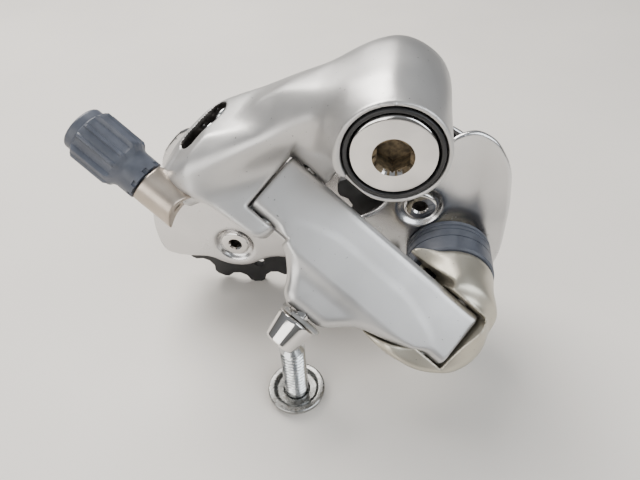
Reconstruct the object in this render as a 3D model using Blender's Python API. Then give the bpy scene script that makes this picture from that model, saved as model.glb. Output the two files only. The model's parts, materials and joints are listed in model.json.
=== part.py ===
"""Rear bicycle derailleur, short cage, standing as it hangs on the bike.

Lengths are millimetres until a mesh is finished, then scaled to metres.
x runs toward the front of the bike, y inboard toward the wheel, z up.
The front face of the mounting bolt head is y = 0 while drawing; the root
empty moves everything so the hanger plane on the mounting axis is the origin.
The swinging links are drawn in a link frame: a along the link, b along its
pivot pins, c out of its face.
"""
import math

import bmesh
import bpy
from mathutils import Matrix, Vector

MM = 0.001
GAP = 0.3

# mounting bolt and upper housing
HANGER_Y = 26.0
HEAD_R = 7.93
HEAD_HEX = 6.0
SHANK_R = 5.2
HOUSING_FRONT_R = 10.24
HOUSING_BACK_R = 10.85
HOUSING_LEN = 24.1

# link frame
LINK_ORIGIN = Vector((-25.92, 12.50, -15.62))
LINK_AZIMUTH = math.radians(-17.8)
LINK_SLOPE = math.radians(-34.6)
LINK_ROLL = math.radians(38.1)
LINK_LEN = 57.1
LINK_HALF_W = 7.45
LINK_DEPTH = 8.0
PIN_R = 1.6
SPRING_HALF_W = 4.4
OUTER_PIN_A = 5.0
PIVOT_SPAN = 47.5
OUTER_PIN_C = -3.6
INNER_PIN_A = -1.0
INNER_PIN_C = -13.6

# lower knuckle and cage
CAGE_AXIS_X = 16.8
CAGE_AXIS_Z = -46.0
COLLAR_R = 11.0
PLATE_Y = 27.0
PLATE_T = 1.6
INNER_PLATE_Y = 39.1
GUIDE_X, GUIDE_Z = 8.05, -32.3
TENSION_X, TENSION_Z = -43.5, -50.3
PULLEY_Y = 34.7
PULLEY_TEETH = 11
PULLEY_PITCH_R = 22.54
PULLEY_TIP_R = 21.95

# cable side
ADJUSTER_B = -17.8
ADJUSTER_C = -3.6
CLAMP_A = 25.0
CLAMP_C = -4.0
B_SCREW_AT = Vector((-14.2, 25.3, -9.6))
STAND_X, STAND_Y = -20.7, -4.9
FLOOR_Z = -72.37

for old in list(bpy.data.objects):
    bpy.data.objects.remove(old, do_unlink=True)

# ------------------------------------------------------------------ frames


def link_axes():
    """Unit vectors along the link, along its pins and out of its face."""
    ca, sa = math.cos(LINK_AZIMUTH), math.sin(LINK_AZIMUTH)
    ce, se = math.cos(LINK_SLOPE), math.sin(LINK_SLOPE)
    along = Vector((ca * ce, sa * ce, se))
    level = Vector((-sa, ca, 0.0))
    steep = Vector((-ca * se, -sa * se, ce))
    pin = level * math.cos(LINK_ROLL) + steep * math.sin(LINK_ROLL)
    return along, pin, along.cross(pin)


LINK_L, LINK_P, LINK_N = link_axes()


def frame(origin, x_axis, y_axis, z_axis):
    """4x4 matrix that takes local points to drawing space."""
    m = Matrix.Identity(4)
    for i, axis in enumerate((x_axis, y_axis, z_axis)):
        for j in range(3):
            m[j][i] = axis[j]
    for j in range(3):
        m[j][3] = origin[j]
    return m


def axis_frame(origin, direction):
    """Frame whose local z runs along a direction."""
    z_axis = Vector(direction).normalized()
    helper = Vector((0.0, 0.0, 1.0))
    if abs(z_axis.dot(helper)) > 0.95:
        helper = Vector((1.0, 0.0, 0.0))
    x_axis = helper.cross(z_axis).normalized()
    return frame(origin, x_axis, z_axis.cross(x_axis), z_axis)


LINK = frame(LINK_ORIGIN, LINK_L, LINK_P, LINK_N)


def lk(a, b, c):
    """Point given in the link frame."""
    return LINK @ Vector((a, b, c))


def along_y(x, z, y=0.0):
    """Frame for round pieces whose local z runs inboard."""
    return frame((x, y, z), Vector((1, 0, 0)), Vector((0, 0, -1)), Vector((0, 1, 0)))


def along_link(b, c):
    """Frame for round pieces that lie along the link direction."""
    return frame(lk(0, b, c), LINK_P, LINK_N, LINK_L)


def along_pin(a, c):
    """Frame for round pieces that lie along the pivot pins."""
    return frame(lk(a, 0, c), LINK_N, LINK_L, LINK_P)


# ------------------------------------------------------------------ solids


def lathe(profile, place, segs=32):
    """Closed solid from (radius, height) pairs; zero radius ends are poles."""
    bm = bmesh.new()
    rings = []
    for radius, height in profile:
        if radius < 1e-6:
            rings.append([bm.verts.new(place @ Vector((0, 0, height)))])
            continue
        ring = []
        for i in range(segs):
            t = 2 * math.pi * i / segs
            ring.append(bm.verts.new(place @ Vector((radius * math.cos(t), radius * math.sin(t), height))))
        rings.append(ring)
    pairs = list(zip(rings, rings[1:]))
    if len(rings[0]) > 1:
        pairs.append((rings[-1], rings[0]))
    for low, high in pairs:
        for i in range(segs):
            j = (i + 1) % segs
            corners = [low[i % len(low)], low[j % len(low)], high[j % len(high)], high[i % len(high)]]
            unique = []
            for v in corners:
                if v not in unique:
                    unique.append(v)
            if len(unique) > 2:
                bm.faces.new(unique)
    return tidy(bm)


def stack(rings):
    """Closed solid through a list of equal rings of points, capped at both ends."""
    bm = bmesh.new()
    loops = [[bm.verts.new(p) for p in ring] for ring in rings]
    count = len(loops[0])
    for low, high in zip(loops, loops[1:]):
        for i in range(count):
            j = (i + 1) % count
            bm.faces.new((low[i], low[j], high[j], high[i]))
    bm.faces.new(loops[0])
    bm.faces.new(loops[-1])
    return tidy(bm)


def hull(points):
    """Convex solid around a cloud of points."""
    bm = bmesh.new()
    for p in points:
        bm.verts.new(p)
    result = bmesh.ops.convex_hull(bm, input=bm.verts)
    loose = [v for v in bm.verts if not v.link_faces]
    bmesh.ops.delete(bm, geom=loose, context='VERTS')
    return tidy(bm)


def tidy(bm):
    bmesh.ops.remove_doubles(bm, verts=bm.verts, dist=1e-4)
    bmesh.ops.recalc_face_normals(bm, faces=bm.faces)
    return bm


def ball(centre, radius, rows=3, cols=6):
    """Points of a small sphere, used to round the corners of a hull."""
    points = []
    for i in range(rows + 1):
        lat = math.pi * i / rows - math.pi / 2
        for j in range(cols):
            lon = 2 * math.pi * j / cols
            offset = Vector((math.cos(lat) * math.cos(lon), math.cos(lat) * math.sin(lon), math.sin(lat)))
            points.append(Vector(centre) + offset * radius)
    return points


def prism(outline, place, low, high, chamfer=0.0):
    """Extrude a flat outline between two heights, with an optional edge break."""
    def ring(points, height):
        return [place @ Vector((p[0], p[1], height)) for p in points]
    if chamfer <= 0:
        return stack([ring(outline, low), ring(outline, high)])
    small = inset(outline, chamfer)
    return stack([ring(small, low), ring(outline, low + chamfer),
                  ring(outline, high - chamfer), ring(small, high)])


def inset(outline, amount):
    """Move every corner of a counter-clockwise outline inward."""
    moved = []
    count = len(outline)
    for i in range(count):
        before = Vector(outline[i - 1])
        here = Vector(outline[i])
        after = Vector(outline[(i + 1) % count])
        d1 = (here - before).normalized()
        d2 = (after - here).normalized()
        n1 = Vector((-d1.y, d1.x))
        n2 = Vector((-d2.y, d2.x))
        mid = (n1 + n2).normalized()
        scale = amount / max(0.4, mid.dot(n1))
        moved.append(tuple(here + mid * scale))
    return moved


def rounded(corners, radius, steps=4):
    """Outline with every corner replaced by a short curve."""
    points = []
    count = len(corners)
    for i in range(count):
        before, here, after = Vector(corners[i - 1]), Vector(corners[i]), Vector(corners[(i + 1) % count])
        reach = min(radius, (here - before).length * 0.45, (after - here).length * 0.45)
        start = here + (before - here).normalized() * reach
        end = here + (after - here).normalized() * reach
        for k in range(steps + 1):
            t = k / steps
            points.append(tuple(start * (1 - t) ** 2 + here * 2 * t * (1 - t) + end * t ** 2))
    return points


def circle(radius, segs, x=0.0, y=0.0, turn=0.0):
    return [(x + radius * math.cos(turn + 2 * math.pi * i / segs),
             y + radius * math.sin(turn + 2 * math.pi * i / segs)) for i in range(segs)]


def box(place, lows, highs):
    """Plain block in a local frame, mostly used as a cutter."""
    outline = [(lows[0], lows[1]), (highs[0], lows[1]), (highs[0], highs[1]), (lows[0], highs[1])]
    return prism(outline, place, lows[2], highs[2])


def rod(place, radius, low, high, segs=24, edge=0.0):
    if edge <= 0:
        return lathe([(0, low), (radius, low), (radius, high), (0, high)], place, segs)
    return lathe([(0, low), (radius - edge, low), (radius, low + edge),
                  (radius, high - edge), (radius - edge, high), (0, high)], place, segs)


def hexagon(width):
    return circle(width / math.sqrt(3), 6, turn=math.pi / 6)


def sweep(path, radius, sides=5):
    """Round wire along a list of points."""
    rings = []
    last = None
    for i, point in enumerate(path):
        ahead = path[min(i + 1, len(path) - 1)] - path[max(i - 1, 0)]
        ahead.normalize()
        if last is None:
            last = ahead.orthogonal().normalized()
        side = (last - ahead * last.dot(ahead)).normalized()
        last = side
        other = ahead.cross(side)
        rings.append([point + (side * math.cos(2 * math.pi * k / sides)
                               + other * math.sin(2 * math.pi * k / sides)) * radius for k in range(sides)])
    return stack(rings)


def coil(place, radius, wire, low, high, turns, per_turn=12):
    steps = int(turns * per_turn)
    path = []
    for i in range(steps + 1):
        t = i / steps
        turn = 2 * math.pi * turns * t
        local = Vector((radius * math.cos(turn), radius * math.sin(turn), low + (high - low) * t))
        path.append(place @ local)
    return sweep(path, wire)


def threads(radius, low, high, pitch=1.0, depth=0.5):
    """Profile points of a screw thread drawn as close grooves."""
    points = []
    count = max(1, int((high - low) / pitch))
    step = (high - low) / count
    for i in range(count):
        start = low + i * step
        points.append((radius - depth, start + 0.05 * step))
        points.append((radius, start + 0.55 * step))
    points.append((radius - depth, high))
    return points


def as_object(bm, name):
    mesh = bpy.data.meshes.new(name)
    bm.to_mesh(mesh)
    bm.free()
    ob = bpy.data.objects.new(name, mesh)
    bpy.context.scene.collection.objects.link(ob)
    return ob


def sound(result, base_volume, tool_volume, operation):
    """True when a boolean result is closed and its volume is believable."""
    if not result.verts or any(not edge.is_manifold for edge in result.edges):
        return False
    volume = result.calc_volume()
    if operation == 'UNION':
        return max(base_volume, tool_volume) - 0.01 <= volume <= base_volume + tool_volume + 0.01
    return max(0.0, base_volume - tool_volume) - 0.01 <= volume <= base_volume + 0.01


def combine(base, tool, operation):
    """Exact boolean of two solids; the tool is nudged when faces line up badly."""
    base_volume = base.calc_volume()
    tool_volume = tool.calc_volume()
    first = as_object(base, "work_base")
    second = as_object(tool, "work_tool")
    mod = first.modifiers.new("cut", 'BOOLEAN')
    mod.operation = operation
    mod.solver = 'EXACT'
    mod.object = second
    for nudge in (0.0, 0.004, -0.006, 0.009, -0.013, 0.017):
        second.location = (nudge, nudge * 0.7, -nudge * 0.4)
        bpy.context.view_layer.update()
        graph = bpy.context.evaluated_depsgraph_get()
        result = bmesh.new()
        result.from_mesh(first.evaluated_get(graph).to_mesh())
        bmesh.ops.remove_doubles(result, verts=result.verts, dist=2e-4)
        bmesh.ops.dissolve_degenerate(result, dist=1e-4, edges=result.edges)
        if sound(result, base_volume, tool_volume, operation):
            break
    else:
        print("boolean did not settle", operation, first.name)
    for ob in (first, second):
        bpy.data.objects.remove(ob, do_unlink=True)
    return result


def cut(base, *tools):
    for tool in tools:
        base = combine(base, tool, 'DIFFERENCE')
    return base


def join(base, *tools):
    for tool in tools:
        base = combine(base, tool, 'UNION')
    return base


# --------------------------------------------------------------- materials

MATERIALS = {}


def material(name, colour, roughness, metallic):
    mat = bpy.data.materials.new(name)
    mat.use_nodes = True
    shader = mat.node_tree.nodes["Principled BSDF"]
    shader.inputs["Base Color"].default_value = (*colour, 1.0)
    shader.inputs["Roughness"].default_value = roughness
    shader.inputs["Metallic"].default_value = metallic
    MATERIALS[name] = mat


material("silver_paint", (0.66, 0.65, 0.64), 0.36, 0.75)
material("champagne_paint", (0.66, 0.62, 0.52), 0.36, 0.75)
material("polished_alloy", (0.74, 0.73, 0.71), 0.22, 1.0)
material("chrome", (0.80, 0.79, 0.78), 0.10, 1.0)
material("steel", (0.58, 0.57, 0.55), 0.30, 1.0)
material("zinc", (0.62, 0.63, 0.62), 0.28, 1.0)
material("spring_steel", (0.30, 0.30, 0.31), 0.35, 1.0)
material("grey_plastic", (0.16, 0.18, 0.22), 0.45, 0.0)
material("black_plastic", (0.02, 0.02, 0.022), 0.45, 0.0)
material("brass", (0.70, 0.52, 0.26), 0.30, 1.0)

# ----------------------------------------------------------------- bodies

PIVOTS = {
    "mount": Vector((0, HANGER_Y, 0)),
    "bracket": Vector((0, HANGER_Y, 0)),
    "outer_link": lk(OUTER_PIN_A, 0, OUTER_PIN_C),
    "inner_link": lk(INNER_PIN_A, 0, INNER_PIN_C),
    "lower_knuckle": lk(OUTER_PIN_A + PIVOT_SPAN, 0, OUTER_PIN_C),
    "cage": Vector((CAGE_AXIS_X, PLATE_Y, CAGE_AXIS_Z)),
    "guide": Vector((GUIDE_X, PULLEY_Y, GUIDE_Z)),
    "tension": Vector((TENSION_X, PULLEY_Y, TENSION_Z)),
    "adjuster": lk(-30.0, ADJUSTER_B, ADJUSTER_C),
    "high_screw": lk(-12.0, 0.0, -4.0),
    "low_screw": lk(-12.0, 4.3, -4.0),
    "b_screw": B_SCREW_AT,
    "clamp": lk(CLAMP_A, -19.0, CLAMP_C),
}
PARENTS = {
    "bracket": "mount", "outer_link": "bracket", "inner_link": "bracket", "lower_knuckle": "outer_link",
    "cage": "lower_knuckle", "guide": "cage", "tension": "cage", "adjuster": "bracket",
    "high_screw": "bracket", "low_screw": "bracket", "b_screw": "bracket",
    "clamp": "outer_link",
}
EMPTIES = {}


def build_empties():
    root = bpy.data.objects.new("hanger_origin", None)
    root.location = (0, -HANGER_Y * MM, 0)
    bpy.context.scene.collection.objects.link(root)
    for name, pivot in PIVOTS.items():
        empty = bpy.data.objects.new("joint_" + name, None)
        empty.empty_display_size = 0.004
        bpy.context.scene.collection.objects.link(empty)
        EMPTIES[name] = empty
        if name in PARENTS:
            empty.parent = EMPTIES[PARENTS[name]]
            empty.location = (pivot - PIVOTS[PARENTS[name]]) * MM
        else:
            empty.parent = root
            empty.location = pivot * MM


def finish(name, bm, mat, body, sharp=38.0):
    """Turn a drawn solid into a named object standing on its body's pivot."""
    pivot = PIVOTS[body]
    for v in bm.verts:
        v.co = (v.co - pivot) * MM
    bmesh.ops.recalc_face_normals(bm, faces=bm.faces)
    ob = as_object(bm, name)
    ob.data.name = name
    ob.data.materials.append(MATERIALS[mat])
    ob.parent = EMPTIES[body]
    ob.data.shade_smooth()
    ob.data.set_sharp_from_angle(angle=math.radians(sharp))
    return ob


# ------------------------------------------------------- mounting hardware


def mounting_bolt():
    """Chrome bolt: low cone head with hex socket, bearing shank, M10 end."""
    shape = [(0, -0.45), (3.9, -0.40), (7.2, 0.02), (7.7, 0.18), (HEAD_R, 0.55), (HEAD_R, 2.4), (7.4, 2.8),
             (SHANK_R, 2.8), (SHANK_R, 24.95), (4.45, 25.0), (4.45, 25.95), (4.9, 26.1)]
    shape += threads(4.95, 26.2, 34.2, 1.6, 0.5)
    shape += [(3.9, 34.8), (0, 34.8)]
    bolt = lathe(shape, along_y(0, 0), 26)
    socket = prism(hexagon(HEAD_HEX), along_y(0, 0), -1.0, 4.4)
    lead = lathe([(0, -1.2), (4.25, -1.2), (3.2, 0.55), (0, 0.55)], along_y(0, 0), 24)
    finish("mounting_bolt", cut(bolt, socket, lead), "chrome", "mount")


def stop_plate():
    """Steel plate against the hanger with the tab the B screw pushes on."""
    plate = lathe([(5.5, 24.4), (10.2, 24.4), (10.6, 24.7), (10.6, 25.7), (10.3, 26.0), (7.5, 26.0),
                   (7.5, 25.05), (5.5, 25.05)], along_y(0, 0), 32)
    tab = prism(rounded([(-16.0, -1.3), (-8.0, -1.3), (-8.0, -6.0), (-15.0, -4.6)], 0.6, 3), along_y(0, 0),
                24.45, 25.95)
    finish("hanger_stop_plate", join(plate, tab), "steel", "mount")


def snap_ring():
    outline = []
    for i in range(25):
        t = math.radians(35 + 290 * i / 24)
        outline.append((7.1 * math.cos(t), 7.1 * math.sin(t)))
    for i in range(25):
        t = math.radians(325 - 290 * i / 24)
        outline.append((4.75 * math.cos(t), 4.75 * math.sin(t)))
    finish("bolt_snap_ring", prism(outline, along_y(0, 0), 25.35, 25.7), "spring_steel", "mount")


def upper_small_parts():
    ring = lathe([(8.2, 0.3), (8.35, 0.12), (9.0, 0.12), (9.1, 0.3), (9.1, 2.2), (8.2, 2.2)], along_y(0, 0), 36)
    finish("head_seal_ring", ring, "black_plastic", "bracket")
    sleeve = lathe([(5.5, 3.1), (8.3, 3.1), (8.3, 4.1), (6.5, 4.1), (6.5, 13.2), (5.5, 13.2)], along_y(0, 0), 28)
    finish("mount_bushing", sleeve, "black_plastic", "bracket")
    spring = coil(along_y(0, 0), 6.95, 0.8, 14.9, 22.9, 4.0)
    finish("mount_spring", spring, "spring_steel", "bracket")


# ---------------------------------------------------------------- bracket


def screw_slot():
    outline = rounded([(-8.3, -6.4), (6.6, -6.4), (6.6, -1.6), (-8.3, -1.6)], 2.3)
    return prism(outline, frame(lk(0, 0, 0), LINK_P, LINK_N, LINK_L), -30.0, -14.6)


def swing_room():
    """Wedge that keeps the lower fork cheek clear of the link as it swings in."""
    points = []
    for i in range(6):
        t = math.radians(-28 - 14.2 * i)
        points.append((OUTER_PIN_A + 5.3 * math.cos(t), OUTER_PIN_C + 5.3 * math.sin(t)))
    corner_a, corner_c = OUTER_PIN_A - 1.45, OUTER_PIN_C - 6.8
    points.append((corner_a, corner_c))
    points.append((corner_a + 15.0, corner_c - 26.0))
    points.append((40.0, -8.0))
    return prism(points, frame(lk(0, 0, 0), LINK_L, LINK_N, -LINK_P), LINK_HALF_W - 0.1, 30.0)


def bracket():
    """Upper knuckle: bolt housing, arm, pivot fork and cable stop tube."""
    housing = lathe([(0, 0.55), (9.55, 0.55), (9.75, 0.12), (10.0, 0.12), (HOUSING_FRONT_R, 0.5),
                     (10.55, 3.0), (HOUSING_BACK_R, 12.0), (HOUSING_BACK_R, 23.8),
                     (10.6, HOUSING_LEN), (0, HOUSING_LEN)], along_y(0, 0), 36)
    points = []
    for i in range(7):
        t = math.radians(82 + 15 * i)
        for y, r in ((11.0, 10.4), (14.0, 10.7), (23.4, 10.6)):
            points.append(Vector((r * math.cos(t), y, r * math.sin(t))))
    for a, b in ((-17.2, -9.0), (-16.6, -11.2), (-17.0, 0.0), (-14.4, 4.6), (-6.0, 9.0)):
        points += ball(lk(a, b, -2.4), 2.8)
        points += ball(lk(a + 0.6, b * 0.9, -8.0), 2.6)
    arm = hull(points)
    fork_points = []
    for a, b in ((-12.0, -11.2), (4.6, -10.2), (5.6, -9.6), (-12.0, -4.0), (5.6, 4.0)):
        for c in (-1.6, -12.0):
            fork_points += ball(lk(a, b, c), 2.3)
    for a, b in ((-3.5, -9.8), (2.2, -9.8), (-3.5, 2.6), (2.2, 2.6)):
        fork_points += ball(lk(a, b, -14.6), 2.0)
    fork = hull(fork_points)
    tube = lathe([(0, -20.6), (4.2, -20.6), (4.55, -20.2), (4.55, -9.8), (0, -9.8)],
                 along_link(ADJUSTER_B, ADJUSTER_C), 24)
    web = hull(ball(lk(-17.5, -14.5, -4.4), 2.2) + ball(lk(-11.5, -14.5, -4.4), 2.2)
               + ball(lk(-17.5, -9.0, -5.5), 2.2) + ball(lk(-11.5, -9.0, -5.5), 2.2))
    ear = hull(ball(lk(1.5, 9.4, -3.2), 2.6) + ball(lk(6.0, 9.2, -3.6), 2.6) + ball(lk(-3.0, 9.8, -3.2), 2.6)
               + ball(lk(1.5, 12.0, -6.0), 2.6))
    shoulder = hull([Vector((r * math.cos(math.radians(t)), y, r * math.sin(math.radians(t))))
                     for t in (105, 120, 135, 150, 165) for y, r in ((5.0, 9.6), (8.0, 10.3), (20.0, 10.5))]
                    + ball((-19.5, 17.5, 0.5), 3.4) + ball((-15.5, 17.0, -5.0), 3.2))
    boss = rod(axis_frame(B_SCREW_AT, (0, 0, 1)), 2.5, 0.0, 6.4, 16, 0.3)
    rib = hull([B_SCREW_AT + Vector((x, -1.2, z)) for x in (-2.2, 1.8) for z in (0.3, 6.1)]
               + ball((-19.0, 20.0, -3.0), 2.6) + ball((-14.5, 20.0, 0.5), 2.6) + ball((-15.5, 20.5, -5.0), 2.2))
    body = join(housing, arm, shoulder, fork, ear, web, tube, rib, boss)
    bolt_frame = along_y(0, 0)
    body = cut(
        body,
        rod(bolt_frame, 9.35, -2.0, 3.0 - GAP, 36),
        rod(bolt_frame, 8.6, 0.0, 4.4, 30),
        rod(bolt_frame, 6.8, 0.0, 14.5, 26),
        rod(bolt_frame, 8.35, 13.5, 30.0, 30),
        lathe([(0, HOUSING_LEN + 0.02), (11.0, HOUSING_LEN + 0.02), (11.0, 40.0), (0, 40.0)], bolt_frame, 32),
    )
    body = cut(
        body,
        box(LINK, (-0.4, -LINK_HALF_W - GAP, -40.0), (60.0, LINK_HALF_W + GAP, 20.0)),
        box(LINK, (INNER_PIN_A, -8.6, -40.0), (60.0, 1.6, INNER_PIN_C + 3.9)),
        rod(along_pin(INNER_PIN_A, INNER_PIN_C), 3.9, -8.6, 1.6, 32),
        box(LINK, (INNER_PIN_A - 3.9, -8.6, -40.0), (30.0, 1.6, INNER_PIN_C)),
        rod(along_pin(OUTER_PIN_A, OUTER_PIN_C), PIN_R + GAP, -10.6, 11.2, 16),
        rod(along_pin(INNER_PIN_A, INNER_PIN_C), PIN_R + GAP, -10.4, 3.6, 16),
        screw_slot(),
        swing_room(),
        rod(along_link(0.0, -4.0), 1.5, -20.0, 2.0, 12),
        rod(along_link(4.3, -4.0), 1.5, -20.0, 2.0, 12),
        rod(along_link(ADJUSTER_B, ADJUSTER_C), 2.95, -30.0, -12.4, 20),
        rod(along_link(ADJUSTER_B, ADJUSTER_C), 1.2, -20.0, 10.0, 10),
        rod(axis_frame(B_SCREW_AT, (0, 0, 1)), 1.55, -9.0, 30.0, 14),
        box(along_y(0, 0), (-16.6, -9.0, 24.12), (-6.0, -0.9, 30.0)),
    )
    finish("bracket_body", body, "silver_paint", "bracket")


def cross_screw(name, place, head_r, head_h, shank_r, length, mat, body):
    """Small adjusting screw with a crossed recess, head toward local minus z."""
    shape = [(0, 0.0), (head_r - 0.25, 0.0), (head_r, 0.3), (head_r, head_h), (shank_r, head_h + 0.1)]
    shape += [(shank_r, length - 0.6), (shank_r - 0.45, length), (0, length)]
    screw = lathe(shape, place, 16)
    for turn in (0, 1):
        size = (0.28, head_r * 0.72) if turn else (head_r * 0.72, 0.28)
        screw = cut(screw, box(place, (-size[0], -size[1], -1.0), (size[0], size[1], 0.9)))
    finish(name, screw, mat, body)


def adjusting_screws():
    for name, b, body in (("limit_screw_high", 0.0, "high_screw"), ("limit_screw_low", 4.3, "low_screw")):
        place = frame(lk(-17.2, b, -4.0), LINK_P, LINK_N, LINK_L)
        cross_screw(name, place, 1.95, 1.7, 1.2, 15.6, "zinc", body)
    place = axis_frame(B_SCREW_AT - Vector((0, 0, 2.1)), (0, 0, 1))
    cross_screw("b_tension_screw", place, 2.1, 1.8, 1.25, 10.3, "zinc", "b_screw")


# ------------------------------------------------------------ cable entry


def adjuster():
    """Knurled barrel with its threaded metal sleeve and click spring."""
    place = along_link(ADJUSTER_B, ADJUSTER_C)
    shape = [(0, -38.7), (4.9, -38.7), (5.25, -38.3), (5.25, -36.6), (5.7, -36.0), (5.75, -26.6), (5.2, -25.8),
             (4.95, -25.4), (4.75, -21.0), (0, -21.0)]
    barrel = lathe(shape, place, 24)
    ribs = []
    for i in range(6):
        t = 2 * math.pi * i / 6
        for off in (-0.22, 0.22):
            x, y = 5.75 * math.cos(t + off), 5.75 * math.sin(t + off)
            ribs.append((x, y))
    for x, y in ribs:
        rib = prism(circle(0.72, 5, x, y), place, -36.2, -27.0)
        barrel = join(barrel, rib)
    for i in range(8):
        t = 2 * math.pi * (i + 0.5) / 8
        barrel = cut(barrel, prism(circle(0.7, 6, 4.9 * math.cos(t), 4.9 * math.sin(t)), place, -21.9, -19.0))
    barrel = cut(barrel, rod(place, 3.6, -45.0, -36.2, 24), rod(place, 2.95, -40.0, -19.0, 20))
    finish("adjuster_barrel", barrel, "grey_plastic", "adjuster")
    sleeve = [(1.3, -37.9), (3.1, -37.9), (3.3, -37.6), (3.3, -36.6), (2.6, -36.4)]
    sleeve += [(2.6, -13.2), (2.3, -12.9), (1.3, -12.9)]
    insert = lathe(sleeve, place, 22)
    insert = cut(insert, box(place, (-0.4, -4.0, -40.0), (0.4, 4.0, -37.1)))
    finish("adjuster_insert", insert, "steel", "adjuster")


# ------------------------------------------------------------------ links


FLARE = rounded([(10.5, -7.0), (14.0, -11.2), (16.9, -14.3), (18.4, -17.4), (20.1, -18.7), (29.9, -18.5),
                 (33.0, -15.9), (36.0, -13.0), (45.0, -10.3), (49.9, -7.2), (40.0, -4.0), (20.0, -4.0)], 1.6, 2)


def link_section():
    """Cross section of the outer link: flat face, round shoulders."""
    points = [(-LINK_HALF_W, -LINK_DEPTH), (LINK_HALF_W, -LINK_DEPTH), (LINK_HALF_W, -2.2)]
    for i in range(1, 6):
        t = math.radians(90 * i / 6)
        points.append((LINK_HALF_W - 2.4 * (1 - math.cos(t)), -2.2 + 2.0 * math.sin(t)))
    points += [(LINK_HALF_W - 3.4, 0.0), (-LINK_HALF_W + 3.4, 0.0)]
    for i in range(1, 6):
        t = math.radians(90 - 90 * i / 6)
        points.append((-LINK_HALF_W + 2.4 * (1 - math.cos(t)), -2.2 + 2.0 * math.sin(t)))
    points.append((-LINK_HALF_W, -2.2))
    return points


def outer_link():
    """Painted outer link with the cable boss flaring from its rear edge."""
    place = frame(lk(0, 0, 0), LINK_P, LINK_N, LINK_L)
    bar = prism(link_section(), place, 0.0, LINK_LEN)
    middle = inset(FLARE, 0.45)
    low = inset(FLARE, 1.2)
    rings = [[lk(p[0], p[1], -LINK_DEPTH) for p in middle], [lk(p[0], p[1], -LINK_DEPTH + 1.0) for p in FLARE],
             [lk(p[0], p[1], -2.4) for p in FLARE], [lk(p[0], p[1], -1.1) for p in middle],
             [lk(p[0], p[1], -0.5) for p in low]]
    link = join(bar, stack(rings))
    for pin_a, side in ((OUTER_PIN_A, -1), (OUTER_PIN_A + PIVOT_SPAN, 1)):
        reach = 5.0 if side < 0 else 4.6
        heel = rod(along_pin(pin_a, OUTER_PIN_C), reach, -9.0, 9.0, 48)
        if side < 0:
            block = box(LINK, (-2.0, -9.0, -12.0), (pin_a, 9.0, OUTER_PIN_C))
        else:
            block = box(LINK, (pin_a, -9.0, -12.0), (LINK_LEN + 2.0, 9.0, OUTER_PIN_C))
        link = cut(link, combine(block, heel, 'DIFFERENCE'))
        link = cut(link, rod(along_pin(pin_a, OUTER_PIN_C), PIN_R + GAP, -12.0, 12.0, 16))
    pocket = prism(rounded([(13.0, -5.2), (44.0, -5.2), (44.0, 5.2), (13.0, 5.2)], 2.0, 3), LINK, -12.0, -2.4)
    spring_end = OUTER_PIN_A + PIVOT_SPAN
    spring_room = box(LINK, (42.0, -SPRING_HALF_W, -12.0), (spring_end, SPRING_HALF_W, OUTER_PIN_C + 0.4))
    spring_bore = rod(along_pin(spring_end, OUTER_PIN_C), 3.3, -SPRING_HALF_W, SPRING_HALF_W, 20)
    link = cut(link, pocket, spring_room, spring_bore, rod(along_pin(CLAMP_A, CLAMP_C), 2.35, -24.0, -8.0, 20))
    finish("outer_link", link, "silver_paint", "outer_link")


def inner_link():
    """Flat steel link with two pairs of eyes, nearer the wheel."""
    start, end = INNER_PIN_A, INNER_PIN_A + PIVOT_SPAN
    outline = []
    for i in range(13):
        t = math.radians(90 + 180 * i / 12)
        outline.append((start + 3.3 * math.cos(t), INNER_PIN_C + 3.3 * math.sin(t)))
    outline += [(start + 8.0, INNER_PIN_C - 1.9), (end - 8.0, INNER_PIN_C - 1.9)]
    for i in range(13):
        t = math.radians(-90 + 180 * i / 12)
        outline.append((end + 3.0 * math.cos(t), INNER_PIN_C + 3.0 * math.sin(t)))
    outline += [(end - 8.0, INNER_PIN_C + 1.9), (start + 8.0, INNER_PIN_C + 1.9)]
    place = frame(lk(0, 0, 0), LINK_L, LINK_N, -LINK_P)
    link = prism(outline, place, -1.3, 8.2, 0.3)
    slot = box(LINK, (start + 9.0, -5.6, INNER_PIN_C - 5.0), (end - 9.0, -1.3, INNER_PIN_C + 5.0))
    link = cut(link, rod(along_pin(start, INNER_PIN_C), PIN_R + GAP, -12.0, 6.0, 16),
               rod(along_pin(end, INNER_PIN_C), PIN_R + 0.6, -12.0, 6.0, 16), slot)
    finish("inner_link", link, "polished_alloy", "inner_link")


def link_pins():
    end = OUTER_PIN_A + PIVOT_SPAN
    inner_end = INNER_PIN_A + PIVOT_SPAN
    for name, a, c, low, high, body in (
            ("pin_upper_outer", OUTER_PIN_A, OUTER_PIN_C, -10.3, 10.9, "bracket"),
            ("pin_upper_inner", INNER_PIN_A, INNER_PIN_C, -10.1, 3.3, "bracket"),
            ("pin_lower_outer", end, OUTER_PIN_C, -10.3, 10.3, "lower_knuckle"),
            ("pin_lower_inner", inner_end, INNER_PIN_C, -10.1, 3.3, "lower_knuckle")):
        finish(name, rod(along_pin(a, c), PIN_R, low, high, 18, 0.25), "steel", body)


def return_spring():
    """Torsion spring round the lower outer pin, one leg lying in the link."""
    end = OUTER_PIN_A + PIVOT_SPAN
    place = along_pin(end, OUTER_PIN_C)
    radius, wire, half = 2.6, 0.42, SPRING_HALF_W - 0.8
    path = [place @ Vector((-radius, -8.5, -half)), place @ Vector((-radius, -3.0, -half))]
    turns, per_turn = 5, 12
    for i in range(turns * per_turn + 1):
        t = i / (turns * per_turn)
        turn = math.pi + 2 * math.pi * turns * t
        path.append(place @ Vector((radius * math.cos(turn), radius * math.sin(turn), -half + 2 * half * t)))
    finish("return_spring", sweep(path, wire), "spring_steel", "outer_link")


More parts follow.
